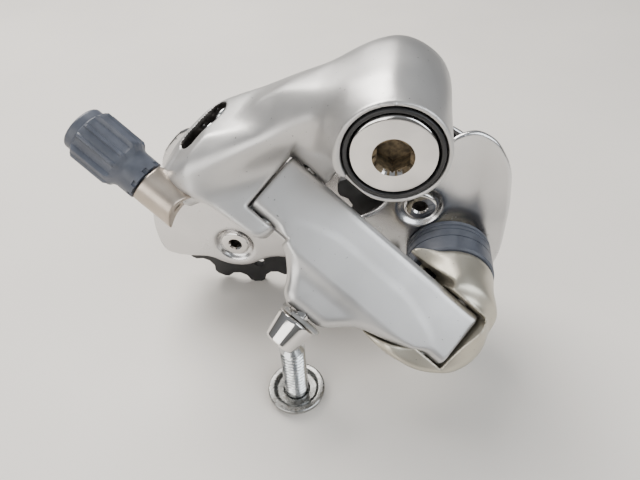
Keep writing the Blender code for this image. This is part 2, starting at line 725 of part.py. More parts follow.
def cable_clamp():
    """Chrome clamp bolt, grooved plate under it, and the screw standing below."""
    place = frame(lk(CLAMP_A, 0, CLAMP_C), LINK_L, LINK_N, -LINK_P)
    shape = [(0, 8.6), (1.9, 8.6), (2.0, 18.9), (2.0, 20.3), (4.45, 20.3), (4.75, 20.6), (4.72, 21.2), (3.85, 26.8),
             (3.5, 27.2), (0, 27.2)]
    bolt = lathe(shape, place, 28)
    bolt = cut(bolt, prism(hexagon(5.0), place, 23.6, 30.0),
               lathe([(0, 28.2), (3.6, 28.2), (2.7, 26.6), (0, 26.6)], place, 24))
    finish("clamp_bolt", bolt, "chrome", "clamp")
    plate = prism(rounded([(-4.6, -4.0), (5.3, -4.0), (5.3, 4.0), (-4.6, 4.0)], 1.5, 3), place, 19.0, 20.0, 0.15)
    plate = cut(plate, rod(place, 2.3, 15.0, 24.0, 20))
    groove = rod(frame(lk(CLAMP_A - 3.2, -19.0, CLAMP_C), LINK_L, LINK_P, -LINK_N), 0.6, -8.0, 8.0, 12)
    finish("clamp_plate", cut(plate, groove), "steel", "outer_link")


def stand_screw():
    """Zinc plated flange screw upright under the clamp bolt, with its washer."""
    place = frame((STAND_X, STAND_Y, FLOOR_Z), Vector((1, 0, 0)), Vector((0, 1, 0)), Vector((0, 0, 1)))
    shape = [(0, 0.0), (4.9, 0.0), (5.2, 0.3), (5.2, 1.0), (3.15, 1.1)]
    shape += threads(3.15, 3.2, 20.2, 1.7, 0.45)
    shape += [(2.2, 21.4), (0, 21.4)]
    screw = lathe(shape, place, 16)
    finish("stand_screw", screw, "zinc", "outer_link")
    washer = lathe([(3.45, 1.3), (7.2, 1.3), (7.5, 1.6), (7.5, 2.5), (7.2, 2.75), (5.9, 2.75), (5.2, 1.95),
                    (3.45, 1.95)], place, 28)
    finish("stand_washer", washer, "steel", "outer_link")


# ----------------------------------------------------------- lower knuckle


def lower_knuckle():
    """Champagne knuckle: cups the links and carries the cage pivot."""
    end = OUTER_PIN_A + PIVOT_SPAN
    inner_end = INNER_PIN_A + PIVOT_SPAN
    points = []
    for a, b in ((44.0, -10.3), (49.0, -10.4), (55.0, -8.6), (59.0, -5.6), (60.4, -2.6), (59.2, 3.4), (54.6, 8.6),
                 (49.4, 9.4)):
        points += ball(lk(a, b, -4.7), 2.9)
        points += ball(lk(a - 1.5, b * 0.9, -11.0), 2.9)
    points += ball(lk(41.6, -10.4, -10.0), 2.6)
    points += ball(lk(43.4, -9.6, -15.2), 2.2)
    points += ball(lk(49.0, -9.0, -15.2), 2.2)
    place = along_y(CAGE_AXIS_X, CAGE_AXIS_Z)
    for i in range(20):
        t = 2 * math.pi * i / 20
        for y, r in ((4.0, 9.0), (6.5, 10.7), (15.4, 10.7)):
            points.append(place @ Vector((r * math.cos(t), r * math.sin(t), y)))
    body = hull(points)
    nose = rod(place, 8.5, 12.0, 26.4, 30)
    wing = hull(ball(lk(37.6, -10.6, -6.2), 2.2) + ball(lk(37.6, -10.6, -9.0), 2.2)
                + ball(lk(47.0, -10.5, -6.0), 2.6) + ball(lk(47.0, -10.5, -11.0), 2.6))
    body = join(body, nose, wing)
    body = cut(
        body,
        box(LINK, (20.0, -LINK_HALF_W - GAP, OUTER_PIN_C - 5.0), (end + 6.1, LINK_HALF_W + GAP, 12.0)),
        box(LINK, (20.0, -8.6, INNER_PIN_C - 3.4), (inner_end + 0.2, 1.55, 5.0)),
        box(LINK, (30.0, -8.6, INNER_PIN_C + 1.0), (inner_end + 2.2, 1.55, 5.0)),
        rod(along_pin(inner_end, INNER_PIN_C), 3.6, -8.6, 1.6, 26),
        rod(along_pin(end, OUTER_PIN_C), PIN_R + GAP, -10.6, 10.6, 16),
        rod(along_pin(inner_end, INNER_PIN_C), PIN_R + GAP, -10.4, 3.6, 16),
        rod(place, 6.7, 15.2, 30.0, 26),
        rod(place, 3.4, 11.2, 30.0, 20),
        prism(inset(FLARE, -0.6), LINK, -LINK_DEPTH - 0.35, 6.0),
    )
    finish("lower_knuckle_body", body, "champagne_paint", "lower_knuckle")
    collar = lathe([(8.8, 16.1), (10.6, 16.1), (COLLAR_R, 16.5), (COLLAR_R, 24.3), (10.7, 24.5), (10.7, 24.9),
                    (COLLAR_R, 25.1), (COLLAR_R, 26.2), (10.7, 26.5), (8.8, 26.5)], place, 32)
    finish("knuckle_collar", collar, "grey_plastic", "lower_knuckle")
    spring = coil(place, 5.2, 0.75, 16.4, 25.4, 4.5)
    finish("cage_spring", spring, "spring_steel", "lower_knuckle")


# ------------------------------------------------------------------- cage


def pressed_plate(outline, y, flare):
    """Plate between y and y plus its thickness; flare(x, z) bends the edge."""
    core = inset(outline, 2.6)
    mid = inset(outline, 1.3)
    rings = []
    for points, share in ((core, 0.0), (mid, 0.45), (outline, 1.0)):
        rings.append([Vector((x, y + share * flare(x, z), z)) for x, z in points])
    back = [[p + Vector((0, PLATE_T, 0)) for p in ring] for ring in reversed(rings)]
    return stack(rings + back)


def outer_plate():
    outline = rounded([(31.0, -34.0), (28.8, -20.8), (24.0, -13.6), (18.6, -11.0), (13.6, -12.4), (7.0, -21.5),
                       (1.2, -26.6), (-1.8, -32.8), (-8.0, -37.6), (-22.0, -38.0), (-34.0, -31.0), (-46.0, -24.0),
                       (-58.0, -25.0), (-66.0, -36.0), (-68.0, -47.0), (-67.0, -57.4), (-52.0, -55.6),
                       (-46.8, -58.6), (-40.4, -58.6), (-33.0, -53.6), (-12.0, -54.6), (2.0, -58.4),
                       (16.8, -60.4), (27.0, -57.0), (31.0, -48.0)], 6.0, 2)

    def flare(x, z):
        right = max(0.0, min(1.0, (x - 6.0) / 16.0)) * max(0.0, min(1.0, (z + 56.0) / 20.0))
        left = max(0.0, min(1.0, (-54.0 - x) / 10.0))
        return 3.0 * right + 1.2 * left
    plate = pressed_plate(outline, PLATE_Y, flare)
    for x, z in ((GUIDE_X, GUIDE_Z), (TENSION_X, TENSION_Z)):
        place = along_y(x, z)
        plate = join(plate, lathe([(0, 28.0), (6.6, 28.0), (6.0, 30.2), (0, 30.2)], place, 24))
        plate = cut(plate, lathe([(0, 26.0), (5.9, 26.0), (4.9, 28.7), (0, 28.7)], place, 24),
                    rod(place, 2.8, 26.0, 32.0, 16))
    axle = along_y(CAGE_AXIS_X, CAGE_AXIS_Z)
    plate = cut(plate, rod(axle, 3.5, 20.0, 32.0, 24))
    finish("cage_outer_plate", plate, "polished_alloy", "cage")


def inner_plate():
    outline = rounded([(25.0, -34.0), (22.0, -20.0), (10.0, -13.0), (-4.0, -17.0), (-10.0, -28.0), (-20.0, -33.0),
                       (-32.0, -28.0), (-46.0, -19.0), (-57.0, -19.5), (-67.0, -30.0), (-68.0, -45.0),
                       (-66.0, -57.0), (-52.0, -57.4), (-44.0, -59.4), (-32.0, -56.0), (-10.0, -49.0),
                       (8.0, -46.0), (20.0, -45.0)], 6.0, 2)

    def flare(x, z):
        return 1.6 * max(0.0, min(1.0, (-50.0 - x) / 10.0))
    plate = pressed_plate(outline, INNER_PLATE_Y, flare)
    for x, z in ((GUIDE_X, GUIDE_Z), (TENSION_X, TENSION_Z)):
        plate = cut(plate, rod(along_y(x, z), 2.8, 30.0, 45.0, 20))
    finish("cage_inner_plate", plate, "polished_alloy", "cage")


def cage_axle():
    place = along_y(CAGE_AXIS_X, CAGE_AXIS_Z)
    axle = lathe([(0, 11.5), (2.7, 11.5), (3.0, 11.8), (3.0, 26.8), (4.6, 26.85), (4.6, 26.9), (3.2, 26.95),
                  (3.2, 28.9), (5.0, 29.0), (5.0, 30.1), (4.6, 30.4), (0, 30.4)], place, 22)
    finish("cage_axle", axle, "steel", "cage")
    pin = lathe([(0, 20.4), (1.3, 20.4), (1.5, 20.7), (1.5, 26.4), (0, 26.4)],
                along_y(CAGE_AXIS_X - 14.0, CAGE_AXIS_Z - 5.2), 16)
    finish("cage_stop_pin", pin, "steel", "cage")


def pulley_outline():
    """Eleven low teeth between round valleys that seat the chain rollers."""
    points = []
    for i in range(PULLEY_TEETH):
        base = 2 * math.pi * i / PULLEY_TEETH
        for k in range(-2, 3):
            off = math.radians(34 * k)
            px = PULLEY_PITCH_R - 3.95 * math.cos(off)
            py = 3.95 * math.sin(off)
            points.append((math.hypot(px, py), base + math.atan2(py, px)))
        tip = base + math.pi / PULLEY_TEETH
        points.append((PULLEY_TIP_R, tip - 0.055))
        points.append((PULLEY_TIP_R, tip + 0.055))
    return [(r * math.cos(t), r * math.sin(t)) for r, t in points]


def pulley_set(label, x, z, body):
    """Bolt, steel bushing, toothed pulley and the two dust caps beside it."""
    place = along_y(x, z)
    wheel = prism(pulley_outline(), place, PULLEY_Y - 1.15, PULLEY_Y + 1.15, 0.0)
    hub = rod(place, 9.4, PULLEY_Y - 2.6, PULLEY_Y + 2.6, 24, 0.4)
    wheel = cut(join(wheel, hub), rod(place, 4.5, 20.0, 50.0, 22))
    for i in range(5):
        t = 2 * math.pi * i / 5
        hole = prism(circle(2.1, 9, 13.4 * math.cos(t), 13.4 * math.sin(t)), place, 25.0, 45.0)
        wheel = cut(wheel, hole)
    finish(label + "_pulley", wheel, "black_plastic", body)
    bush = lathe([(2.8, 31.5), (4.2, 31.5), (4.2, 37.9), (2.8, 37.9)], place, 24)
    finish(label + "_bushing", bush, "brass", "cage")
    for side, low in (("outer", 30.5), ("inner", 38.2)):
        high = low + 0.7
        if side == "outer":
            cap = lathe([(2.8, low), (7.4, low), (8.2, low + 0.5), (8.2, high + 0.6), (7.9, high + 0.6), (7.4, high),
                         (2.8, high)], place, 20)
        else:
            cap = lathe([(2.8, low), (7.4, low), (7.9, low - 0.6), (8.2, low - 0.6), (8.2, high - 0.5), (7.4, high),
                         (2.8, high)], place, 20)
        finish(label + "_cap_" + side, cap, "steel", "cage")
    bolt = lathe([(0, 27.4), (3.6, 27.4), (4.1, 27.65), (4.25, 28.05), (4.25, 28.4), (2.5, 28.4), (2.5, 41.5),
                  (2.2, 41.8), (0, 41.8)], place, 24)
    bolt = cut(bolt, prism(hexagon(3.0), place, 26.0, 29.6),
               lathe([(0, 26.6), (2.6, 26.6), (1.7, 27.9), (0, 27.9)], place, 24))
    finish(label + "_pulley_bolt", bolt, "chrome", "cage")


build_empties()
mounting_bolt()
stop_plate()
snap_ring()
upper_small_parts()
bracket()
adjusting_screws()
adjuster()
outer_link()
inner_link()
link_pins()
return_spring()
cable_clamp()
stand_screw()
lower_knuckle()
outer_plate()
inner_plate()
cage_axle()
pulley_set("guide", GUIDE_X, GUIDE_Z, "guide")
pulley_set("tension", TENSION_X, TENSION_Z, "tension")
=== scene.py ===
"""Looks of a rear bicycle derailleur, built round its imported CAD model.

Castings are drawn as distance fields and skinned with quads, turned pieces are
profiles spun round their axes. Drawing space is in millimetres with y = 0 at the
mounting bolt's head; the CAD origin lies HANGER_Y further inboard.
"""

import json
import math

import bmesh
import bpy
import numpy as np
from mathutils import Matrix, Vector

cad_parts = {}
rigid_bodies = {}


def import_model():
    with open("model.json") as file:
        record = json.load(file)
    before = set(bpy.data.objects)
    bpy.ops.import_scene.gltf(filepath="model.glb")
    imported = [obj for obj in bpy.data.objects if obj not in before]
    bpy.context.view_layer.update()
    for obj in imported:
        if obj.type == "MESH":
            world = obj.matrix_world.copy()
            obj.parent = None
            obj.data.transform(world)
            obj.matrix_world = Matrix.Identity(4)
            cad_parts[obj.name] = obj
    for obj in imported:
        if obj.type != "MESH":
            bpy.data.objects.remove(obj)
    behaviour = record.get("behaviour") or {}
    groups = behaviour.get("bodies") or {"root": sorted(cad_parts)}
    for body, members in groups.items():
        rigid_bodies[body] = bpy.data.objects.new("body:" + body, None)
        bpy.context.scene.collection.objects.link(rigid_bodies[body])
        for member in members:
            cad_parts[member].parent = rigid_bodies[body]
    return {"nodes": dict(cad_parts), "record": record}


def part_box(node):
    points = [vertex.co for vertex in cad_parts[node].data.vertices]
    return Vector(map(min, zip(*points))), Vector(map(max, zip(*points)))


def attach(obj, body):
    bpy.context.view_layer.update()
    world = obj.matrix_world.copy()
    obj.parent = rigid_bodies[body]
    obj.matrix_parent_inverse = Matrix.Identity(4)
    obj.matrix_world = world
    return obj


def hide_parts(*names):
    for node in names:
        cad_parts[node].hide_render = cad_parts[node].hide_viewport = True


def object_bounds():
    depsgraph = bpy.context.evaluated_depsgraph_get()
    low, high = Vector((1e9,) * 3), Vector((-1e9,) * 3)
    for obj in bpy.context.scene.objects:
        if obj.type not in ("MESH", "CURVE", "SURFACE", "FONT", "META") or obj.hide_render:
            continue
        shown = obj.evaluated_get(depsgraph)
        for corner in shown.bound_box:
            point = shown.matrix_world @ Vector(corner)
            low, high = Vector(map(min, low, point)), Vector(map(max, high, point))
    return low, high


for old in list(bpy.data.objects):
    bpy.data.objects.remove(old, do_unlink=True)

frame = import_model()
CAD_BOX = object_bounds()
JOINTS = {joint["name"]: joint for joint in frame["record"]["behaviour"]["joints"]}
MM = 0.001
HANGER_Y = 26.0
GAP = 0.3              # side play between the link and what it swings in
MERGED_COSINE = 0.965  # faces of a block closer than this count as one
CREASE = 32            # degrees between faces that makes an edge sharp


def pivot(name):
    """A joint's point in drawing space."""
    x, y, z = JOINTS[name]["pos_m"]
    return np.array([x / MM, y / MM + HANGER_Y, z / MM])


def direction(name):
    axis = np.array(JOINTS[name]["axis"], float)
    return axis / np.linalg.norm(axis)


# ------------------------------------------------------------------ frames

# The link's own frame: a runs along it, b across it and c out of its face.
PIN_A, PIN_C = 5.0, -3.6              # upper outer pin
INNER_A, INNER_C = -1.0, -13.6        # upper inner pin
INNER_LOW, INNER_HIGH = -8.6, 1.6     # room for the inner link along its pins
SPAN = 47.5                           # between the two pins of a link
PIN_BORE = 1.9
LINK_LEN = 57.1
HALF_W = 7.45
DEPTH = 8.0
ADJ_B, ADJ_C = -17.8, -3.6            # cable adjuster's axis
CLAMP_A, CLAMP_C = 25.0, -4.0         # clamp bolt's axis
LIMIT_B, LIMIT_C = {"high": 0.0, "low": 4.3}, -4.0
LINK_L = direction("adjuster_turn")
LINK_P = direction("parallelogram_swing")
LINK_N = np.cross(LINK_L, LINK_P)
LINK_O = pivot("parallelogram_swing") - PIN_A * LINK_L - PIN_C * LINK_N
LINK_ROWS = np.array([LINK_L, LINK_P, LINK_N])

ORIGIN = np.zeros(3)
Y_AXIS = np.array([0.0, 1.0, 0.0])
Z_AXIS = np.array([0.0, 0.0, 1.0])
CAGE = pivot("cage_swing")
CAGE_FOOT = CAGE * (1, 0, 1)
GUIDE = pivot("guide_pulley_spin")
TENSION = pivot("tension_pulley_spin")
B_SCREW = pivot("b_screw_turn")
HOUSING_BACK = 24.1
PLATE_SEAT = 24.12                    # the stop plate's outboard face
CAGE_OUTER_Y, CAGE_INNER_Y = 27.8, 39.9
CAGE_PLATE = 1.6                      # thickness


def lk(a, b, c):
    """Point given along, across and out of the link's face."""
    return LINK_O + a * LINK_L + b * LINK_P + c * LINK_N


def link_space(p):
    """The way back from lk, for an array of points."""
    return (p - LINK_O) @ LINK_ROWS.T


def place(origin, x_axis, z_axis):
    """Matrix for a piece whose own z runs along z_axis."""
    z = Vector(z_axis).normalized()
    x = Vector(x_axis)
    x = (x - z * x.dot(z)).normalized()
    y = z.cross(x)
    m = Matrix((x, y, z)).transposed().to_4x4()
    m.translation = Vector(origin)
    return m


def on_y(x, z):
    """Frame on a line across the bicycle."""
    return place((x, 0, z), (1, 0, 0), Y_AXIS)


def on_link(b, c):
    """Frame on a line along the link."""
    return place(lk(0, b, c), LINK_P, LINK_L)


# --------------------------------------------------------- distance fields
# A field takes an array of points and gives each one's distance, negative inside.


def smin(a, b, k):
    """Smaller of two fields, rounded where they are within k of each other."""
    h = np.maximum(k - np.abs(a - b), 0.0) / k
    return np.minimum(a, b) - h * h * (k / 4)


def smax(a, b, k):
    return -smin(-a, -b, k)


def rod(origin, axis, radius, low, high, edge=0.4, grow=0.0):
    """Round bar; grow widens it per millimetre of height."""
    origin, axis = np.asarray(origin, float), np.asarray(axis, float)

    def field(p):
        q = p - origin
        h = q @ axis
        r = np.sqrt(np.maximum((q * q).sum(1) - h * h, 0.0))
        return smax(r - radius - grow * (h - low), np.maximum(low - h, h - high), edge)
    return field


def block(centres, radius, soft=0.0):
    """Convex solid round some points, its edges rounded by about radius or more.

    Each point becomes a small octahedron, because points in one plane have no hull.
    """
    bm = bmesh.new()
    core = radius * 0.3
    offsets = [sign * axis for axis in np.eye(3) * core for sign in (1, -1)]
    centres = [np.asarray(centre, float) + offset for centre in centres for offset in offsets]
    radius -= core
    for centre in centres:
        bm.verts.new(centre)
    bmesh.ops.convex_hull(bm, input=bm.verts)
    planes = []
    for face in sorted(bm.faces, key=lambda f: -f.calc_area()):
        face.normal_update()
        n = np.array(face.normal)
        if abs(np.linalg.norm(n) - 1) < 0.01 and all(n @ m < MERGED_COSINE for m, _ in planes):
            planes.append((n, max(c @ n for c in centres)))
    bm.free()
    soft = soft or radius * 0.28

    def field(p):
        values = [p @ n - d for n, d in planes]
        top = np.max(values, axis=0)
        return top + soft * np.log(sum(np.exp((v - top) / soft) for v in values)) - radius
    return field


def polygon(outline, q):
    """Signed distance from flat points to a closed outline."""
    points = np.asarray(outline, float)
    best = np.full(len(q), 1e9)
    inside = np.zeros(len(q), bool)
    for i in range(len(points)):
        a, b = points[i - 1], points[i]
        edge = b - a
        w = q - a
        t = np.clip((w @ edge) / (edge @ edge), 0, 1)
        gap = w - t[:, None] * edge
        best = np.minimum(best, (gap * gap).sum(1))
        crosses = (a[1] > q[:, 1]) != (b[1] > q[:, 1])
        with np.errstate(divide='ignore', invalid='ignore'):
            side = q[:, 0] < a[0] + (q[:, 1] - a[1]) * edge[0] / edge[1]
        inside ^= crosses & side
    dist = np.sqrt(best)
    return np.where(inside, -dist, dist)


def slab(rows, origin, outline, low, high, edge=0.4, swell=0.0):
    """Outline in the plane of the first two rows, between two heights of the third."""
    origin = np.asarray(origin, float)
    rows = np.asarray(rows, float)

    def field(p):
        q = (p - origin) @ rows.T
        flat = polygon(outline, q[:, :2]) - swell
        return smax(flat, np.maximum(low - q[:, 2], q[:, 2] - high), edge)
    return field


def brick(lows, highs, edge=0.4):
    """Block in the link's own directions."""
    lows, highs = np.asarray(lows, float), np.asarray(highs, float)

    def field(p):
        q = link_space(p)
        d = np.maximum(lows - q, q - highs)
        return smax(smax(d[:, 0], d[:, 1], edge), d[:, 2], edge)
    return field


def blend(fields, k):
    """Union of fields, filleted by about k."""
    def field(p):
        total = fields[0](p)
        for other in fields[1:]:
            total = smin(total, other(p), k)
        return total
    return field


def carve(base, cutters, k):
    """A field with others cut out of it, the new edges rounded by about k."""
    def field(p):
        total = base(p)
        for cutter in cutters:
            total = smax(total, -cutter(p), k)
        return total
    return field


def skin(name, field, low, high, cell):
    """Quads over a field's zero surface, their corners pulled onto it."""
    low, high = np.asarray(low, float), np.asarray(high, float)
    count = np.ceil((high - low) / cell).astype(int) + 1
    axes = [low[i] + cell * np.arange(count[i]) for i in range(3)]
    values = np.empty(count, np.float32)
    yy, zz = np.meshgrid(axes[1], axes[2], indexing='ij')
    for i, x in enumerate(axes[0]):
        points = np.stack([np.full(yy.size, x), yy.ravel(), zz.ravel()], 1)
        values[i] = field(points).reshape(yy.shape)
    inside = values < 0
    total = np.zeros(count - 1, np.int8)
    for i, j, k in np.ndindex(2, 2, 2):
        total += inside[i:count[0] - 1 + i, j:count[1] - 1 + j, k:count[2] - 1 + k]
    mixed = (total > 0) & (total < 8)
    index = np.full(mixed.shape, -1)
    index[mixed] = np.arange(mixed.sum())
    spots = pull(low + (np.argwhere(mixed) + 0.5) * cell, field, cell)
    quads = []
    for axis in range(3):
        u, v = (axis + 1) % 3, (axis + 2) % 3
        here = inside.take(range(count[axis] - 1), axis)
        there = inside.take(range(1, count[axis]), axis)
        at = np.argwhere(here != there)
        at = at[(at[:, u] > 0) & (at[:, v] > 0) & (at[:, u] < count[u] - 1) & (at[:, v] < count[v] - 1)]
        step_u, step_v = np.eye(3, dtype=int)[u], np.eye(3, dtype=int)[v]
        ring = [index[tuple((at - s).T)] for s in (0 * step_u, step_u, step_u + step_v, step_v)]
        quad = np.stack(ring, 1)
        flip = ~here[tuple(at.T)]
        quad[flip] = quad[flip][:, ::-1]
        quads.append(quad)
    return mesh_object(name, spots, np.concatenate(quads))


def pull(spots, field, cell):
    """Moves points to the field's surface, each no further than its own cell."""
    start = spots.copy()
    probe, damping, reach = 0.02, 0.9, 0.8 * cell
    for _ in range(4):
        d = field(spots)
        grad = np.stack([(field(spots + step) - field(spots - step)) / (2 * probe)
                         for step in np.eye(3) * probe], 1)
        size = np.maximum((grad * grad).sum(1), 0.05)
        spots = spots - grad * (d / size)[:, None] * damping
        spots = start + np.clip(spots - start, -reach, reach)
    return spots


def mesh_object(name, spots, faces):
    """Object from drawing-space points, in metres at the CAD's place."""
    spots = (np.asarray(spots, float) - (0, HANGER_Y, 0)) * MM
    mesh = bpy.data.meshes.new(name)
    mesh.from_pydata(spots.tolist(), [], [list(map(int, f)) for f in faces])
    mesh.validate()
    mesh.shade_smooth()
    ob = bpy.data.objects.new(name, mesh)
    bpy.context.scene.collection.objects.link(ob)
    return ob


def face_outward(ob, weld=None):
    """Turns every face outward, after joining points closer than weld metres."""
    bm = bmesh.new()
    bm.from_mesh(ob.data)
    if weld:
        bmesh.ops.remove_doubles(bm, verts=bm.verts, dist=weld)
    bmesh.ops.recalc_face_normals(bm, faces=bm.faces)
    bm.to_mesh(ob.data)
    bm.free()


# ------------------------------------------------------------ turned pieces


def spin(name, rings, at, segs, wave=None, sharp=CREASE):
    """Solid of (radius, height) rings round at's z; wave(angle, height, radius) swells them."""
    closed = rings[0] == rings[-1]
    if closed:
        rings = rings[:-1]
    spots, faces = [], []
    for r, h in rings:
        for i in range(segs):
            t = 2 * math.pi * i / segs
            rr = r + (wave(t, h, r) if wave and r > 0 else 0.0)
            spots.append(tuple(at @ Vector((rr * math.cos(t), rr * math.sin(t), h))))
    for j in range(len(rings) if closed else len(rings) - 1):
        here, there = j * segs, (j + 1) % len(rings) * segs
        for i in range(segs):
            k = (i + 1) % segs
            faces.append((here + i, here + k, there + k, there + i))
    if not closed:
        last = (len(rings) - 1) * segs
        faces += [tuple(range(segs))[::-1], tuple(range(last, last + segs))]
    ob = mesh_object(name, spots, faces)
    face_outward(ob, 1e-7)
    ob.data.set_sharp_from_angle(angle=math.radians(sharp))
    return ob


def smooth_profile(points, parts=4):
    """Rings with every inner corner rounded a little."""
    out = [points[0]]
    for a, b, c in zip(points, points[1:], points[2:]):
        la, lc = math.dist(a, b), math.dist(b, c)
        reach = min(0.25, la * 0.4, lc * 0.4)
        p = [b[i] + (a[i] - b[i]) * reach / la for i in (0, 1)]
        q = [b[i] + (c[i] - b[i]) * reach / lc for i in (0, 1)]
        for s in range(parts + 1):
            t = s / parts
            out.append(tuple(p[i] * (1 - t) ** 2 + 2 * b[i] * t * (1 - t) + q[i] * t * t for i in (0, 1)))
    out.append(points[-1])
    return out


def prism(outline, at, low, high):
    """Straight cutter with an outline's section, between two heights."""
    count = len(outline)
    spots = [tuple(at @ Vector((x, y, z))) for z in (low, high) for x, y in outline]
    faces = [tuple(range(count))[::-1], tuple(range(count, 2 * count))]
    faces += [(i, (i + 1) % count, (i + 1) % count + count, i + count) for i in range(count)]
    ob = mesh_object("tool", spots, faces)
    face_outward(ob)
    return ob


def drill(ob, *tools):
    """Cuts tools out of a piece for good."""
    for tool in tools:
        mod = ob.modifiers.new("hole", 'BOOLEAN')
        mod.operation, mod.solver, mod.object = 'DIFFERENCE', 'EXACT', tool
        graph = bpy.context.evaluated_depsgraph_get()
        fresh = bpy.data.meshes.new_from_object(ob.evaluated_get(graph))
        ob.modifiers.clear()
        ob.data = fresh
        bpy.data.objects.remove(tool, do_unlink=True)
    ob.data.shade_smooth()
    ob.data.set_sharp_from_angle(angle=math.radians(CREASE))


def ngon(radius, count, turn=0.0):
    angles = [turn + 2 * math.pi * i / count for i in range(count)]
    return [(radius * math.cos(t), radius * math.sin(t)) for t in angles]


def hex_hole(at, width, low, high):
    """Cutter for a hexagon socket, width across its flats."""
    return prism(ngon(width / math.sqrt(3), 6, math.pi / 6), at, low, high)


def cone_hole(at, rings):
    """Cutter for a countersink."""
    return spin("tool", rings, at, 48)


# --------------------------------------------------------------- materials


def material(name, colour, rough, metallic, grain, grain_scale, mottle, mottle_scale,
             coat=0.0, rough_var=0.06, specks=0.0, brushed=None, dirt=None):
    """Principled surface with broad mottling, fine grain, smudges and dark specks.

    grain is the grain's depth in millimetres, brushed stretches it, mottle is a share
    of the colour, and both scales count noise cells per metre.
    """
    mat = bpy.data.materials.new(name)
    mat.use_nodes = True
    nodes, links = mat.node_tree.nodes, mat.node_tree.links
    shader = nodes["Principled BSDF"]
    shader.inputs["Metallic"].default_value = metallic
    shader.inputs["Coat Weight"].default_value = coat
    shader.inputs["Coat Roughness"].default_value = 0.12
    where = nodes.new("ShaderNodeTexCoord").outputs["Object"]

    def noise(scale, detail, stretch=None):
        source = where
        if stretch:
            mapping = nodes.new("ShaderNodeMapping")
            mapping.inputs["Scale"].default_value = stretch
            links.new(where, mapping.inputs["Vector"])
            source = mapping.outputs["Vector"]
        node = nodes.new("ShaderNodeTexNoise")
        node.inputs["Scale"].default_value = scale
        node.inputs["Detail"].default_value = detail
        links.new(source, node.inputs["Vector"])
        return node.outputs["Fac"]

    def ramp(fac, low, high, a, b):
        node = nodes.new("ShaderNodeMapRange")
        for key, value in (("From Min", low), ("From Max", high), ("To Min", a), ("To Max", b)):
            node.inputs[key].default_value = value
        links.new(fac, node.inputs["Value"])
        return node.outputs["Result"]

    def mix(fac, a, b):
        node = nodes.new("ShaderNodeMix")
        node.data_type = 'RGBA'
        links.new(fac, node.inputs["Factor"])
        for value, socket in ((a, node.inputs[6]), (b, node.inputs[7])):
            if isinstance(value, tuple):
                socket.default_value = (*value, 1)
            else:
                links.new(value, socket)
        return node.outputs[2]
    painted_shade_faces = tuple(c * (1 - mottle * 2) for c in colour)
    light = tuple(min(1.0, c * (1 + mottle)) for c in colour)
    tone = mix(ramp(noise(mottle_scale, 4), 0.35, 0.65, 0, 1), painted_shade_faces, light)
    if dirt:
        tone = mix(ramp(noise(mottle_scale * 2.3, 5), 0.56, 0.74, 0, 0.75), tone, dirt)
    if specks:
        spots = ramp(noise(1500, 2), 0.735 - specks, 0.76, 0, 0.8)
        tone = mix(spots, tone, tuple(c * 0.25 for c in colour))
    links.new(tone, shader.inputs["Base Color"])
    links.new(ramp(noise(mottle_scale * 1.7, 5), 0.3, 0.7, rough - rough_var, rough + rough_var),
              shader.inputs["Roughness"])
    bump = nodes.new("ShaderNodeBump")
    bump.inputs["Strength"].default_value = 0.2
    bump.inputs["Distance"].default_value = grain * MM
    links.new(noise(grain_scale, 2, brushed), bump.inputs["Height"])
    links.new(bump.outputs["Normal"], shader.inputs["Normal"])
    return mat


SILVER = material("satin_silver", (0.53, 0.52, 0.51), 0.38, 0.80, 0.03, 8000, 0.03, 70,
                  specks=0.010, coat=0.10)
CHAMPAGNE = material("satin_champagne", (0.50, 0.465, 0.385), 0.36, 0.80, 0.02, 7000, 0.04, 80,
                     specks=0.01, coat=0.15)
# Silver casting tinted tan: painted warm reflection of the table and painted shade, for the cable tube.
PAINTED_WARM_REFLECTION = material("silver_painted_warm_reflection", (0.50, 0.43, 0.36), 0.36, 0.9, 0.02, 2600, 0.06, 200,
                     brushed=(1, 1, 6))
ALLOY = material("polished_alloy", (0.66, 0.65, 0.645), 0.24, 1.0, 0.01, 3000, 0.04, 60,
                 specks=0.003)
CHROME = material("chrome", (0.72, 0.70, 0.68), 0.09, 1.0, 0.004, 5000, 0.05, 150, rough_var=0.04)
STEEL = material("turned_steel", (0.50, 0.49, 0.47), 0.30, 1.0, 0.012, 5000, 0.08, 200)
ZINC = material("zinc_plate", (0.56, 0.57, 0.57), 0.22, 1.0, 0.008, 4000, 0.06, 300)
GRIMY = material("grimy_steel", (0.34, 0.34, 0.33), 0.26, 1.0, 0.012, 4000, 0.14, 350,
                 dirt=(0.12, 0.10, 0.08))
DARK_STEEL = material("dark_spring", (0.22, 0.22, 0.23), 0.34, 1.0, 0.012, 4000, 0.1, 300)
GREY = material("blue_grey_plastic", (0.072, 0.080, 0.102), 0.44, 0.0, 0.03, 4500, 0.10, 250,
                rough_var=0.08)
BLACK = material("black_plastic", (0.012, 0.012, 0.013), 0.42, 0.0, 0.03, 4000, 0.2, 250)
GRIME = material("socket_grime", (0.16, 0.12, 0.07), 0.60, 0.4, 0.05, 5000, 0.3, 900,
                 dirt=(0.03, 0.02, 0.015))
# Painted shade: a near-black stand-in for the shade inside the bracket's slot and inside the clamp and pulley
# bolts' sockets.
SHADE = material("painted_recess_shade", (0.035, 0.03, 0.027), 0.45, 0.6, 0.03, 5000, 0.3, 900)
BRONZE = material("sintered_bronze", (0.55, 0.40, 0.20), 0.35, 1.0, 0.02, 6000, 0.1, 300)


def settle(ob, mat, body, slot, *nodes):
    """Gives a piece its material and its body, and hides the CAD nodes it stands for; slot is not used."""
    ob.data.materials.clear()
    ob.data.materials.append(mat)
    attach(ob, body)
    if nodes:
        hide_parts(*nodes)


# ---------------------------------------------------------------- castings


def arc_points(t0, t1, count, radius, heights):
    """Points round the mounting bolt's axis, from t0 to t1 degrees, at each y."""
    out = []
    for t in np.radians([t0 + (t1 - t0) * i / (count - 1) for i in range(count)]):
        out += [(radius * math.cos(t), y, radius * math.sin(t)) for y in heights]
    return out


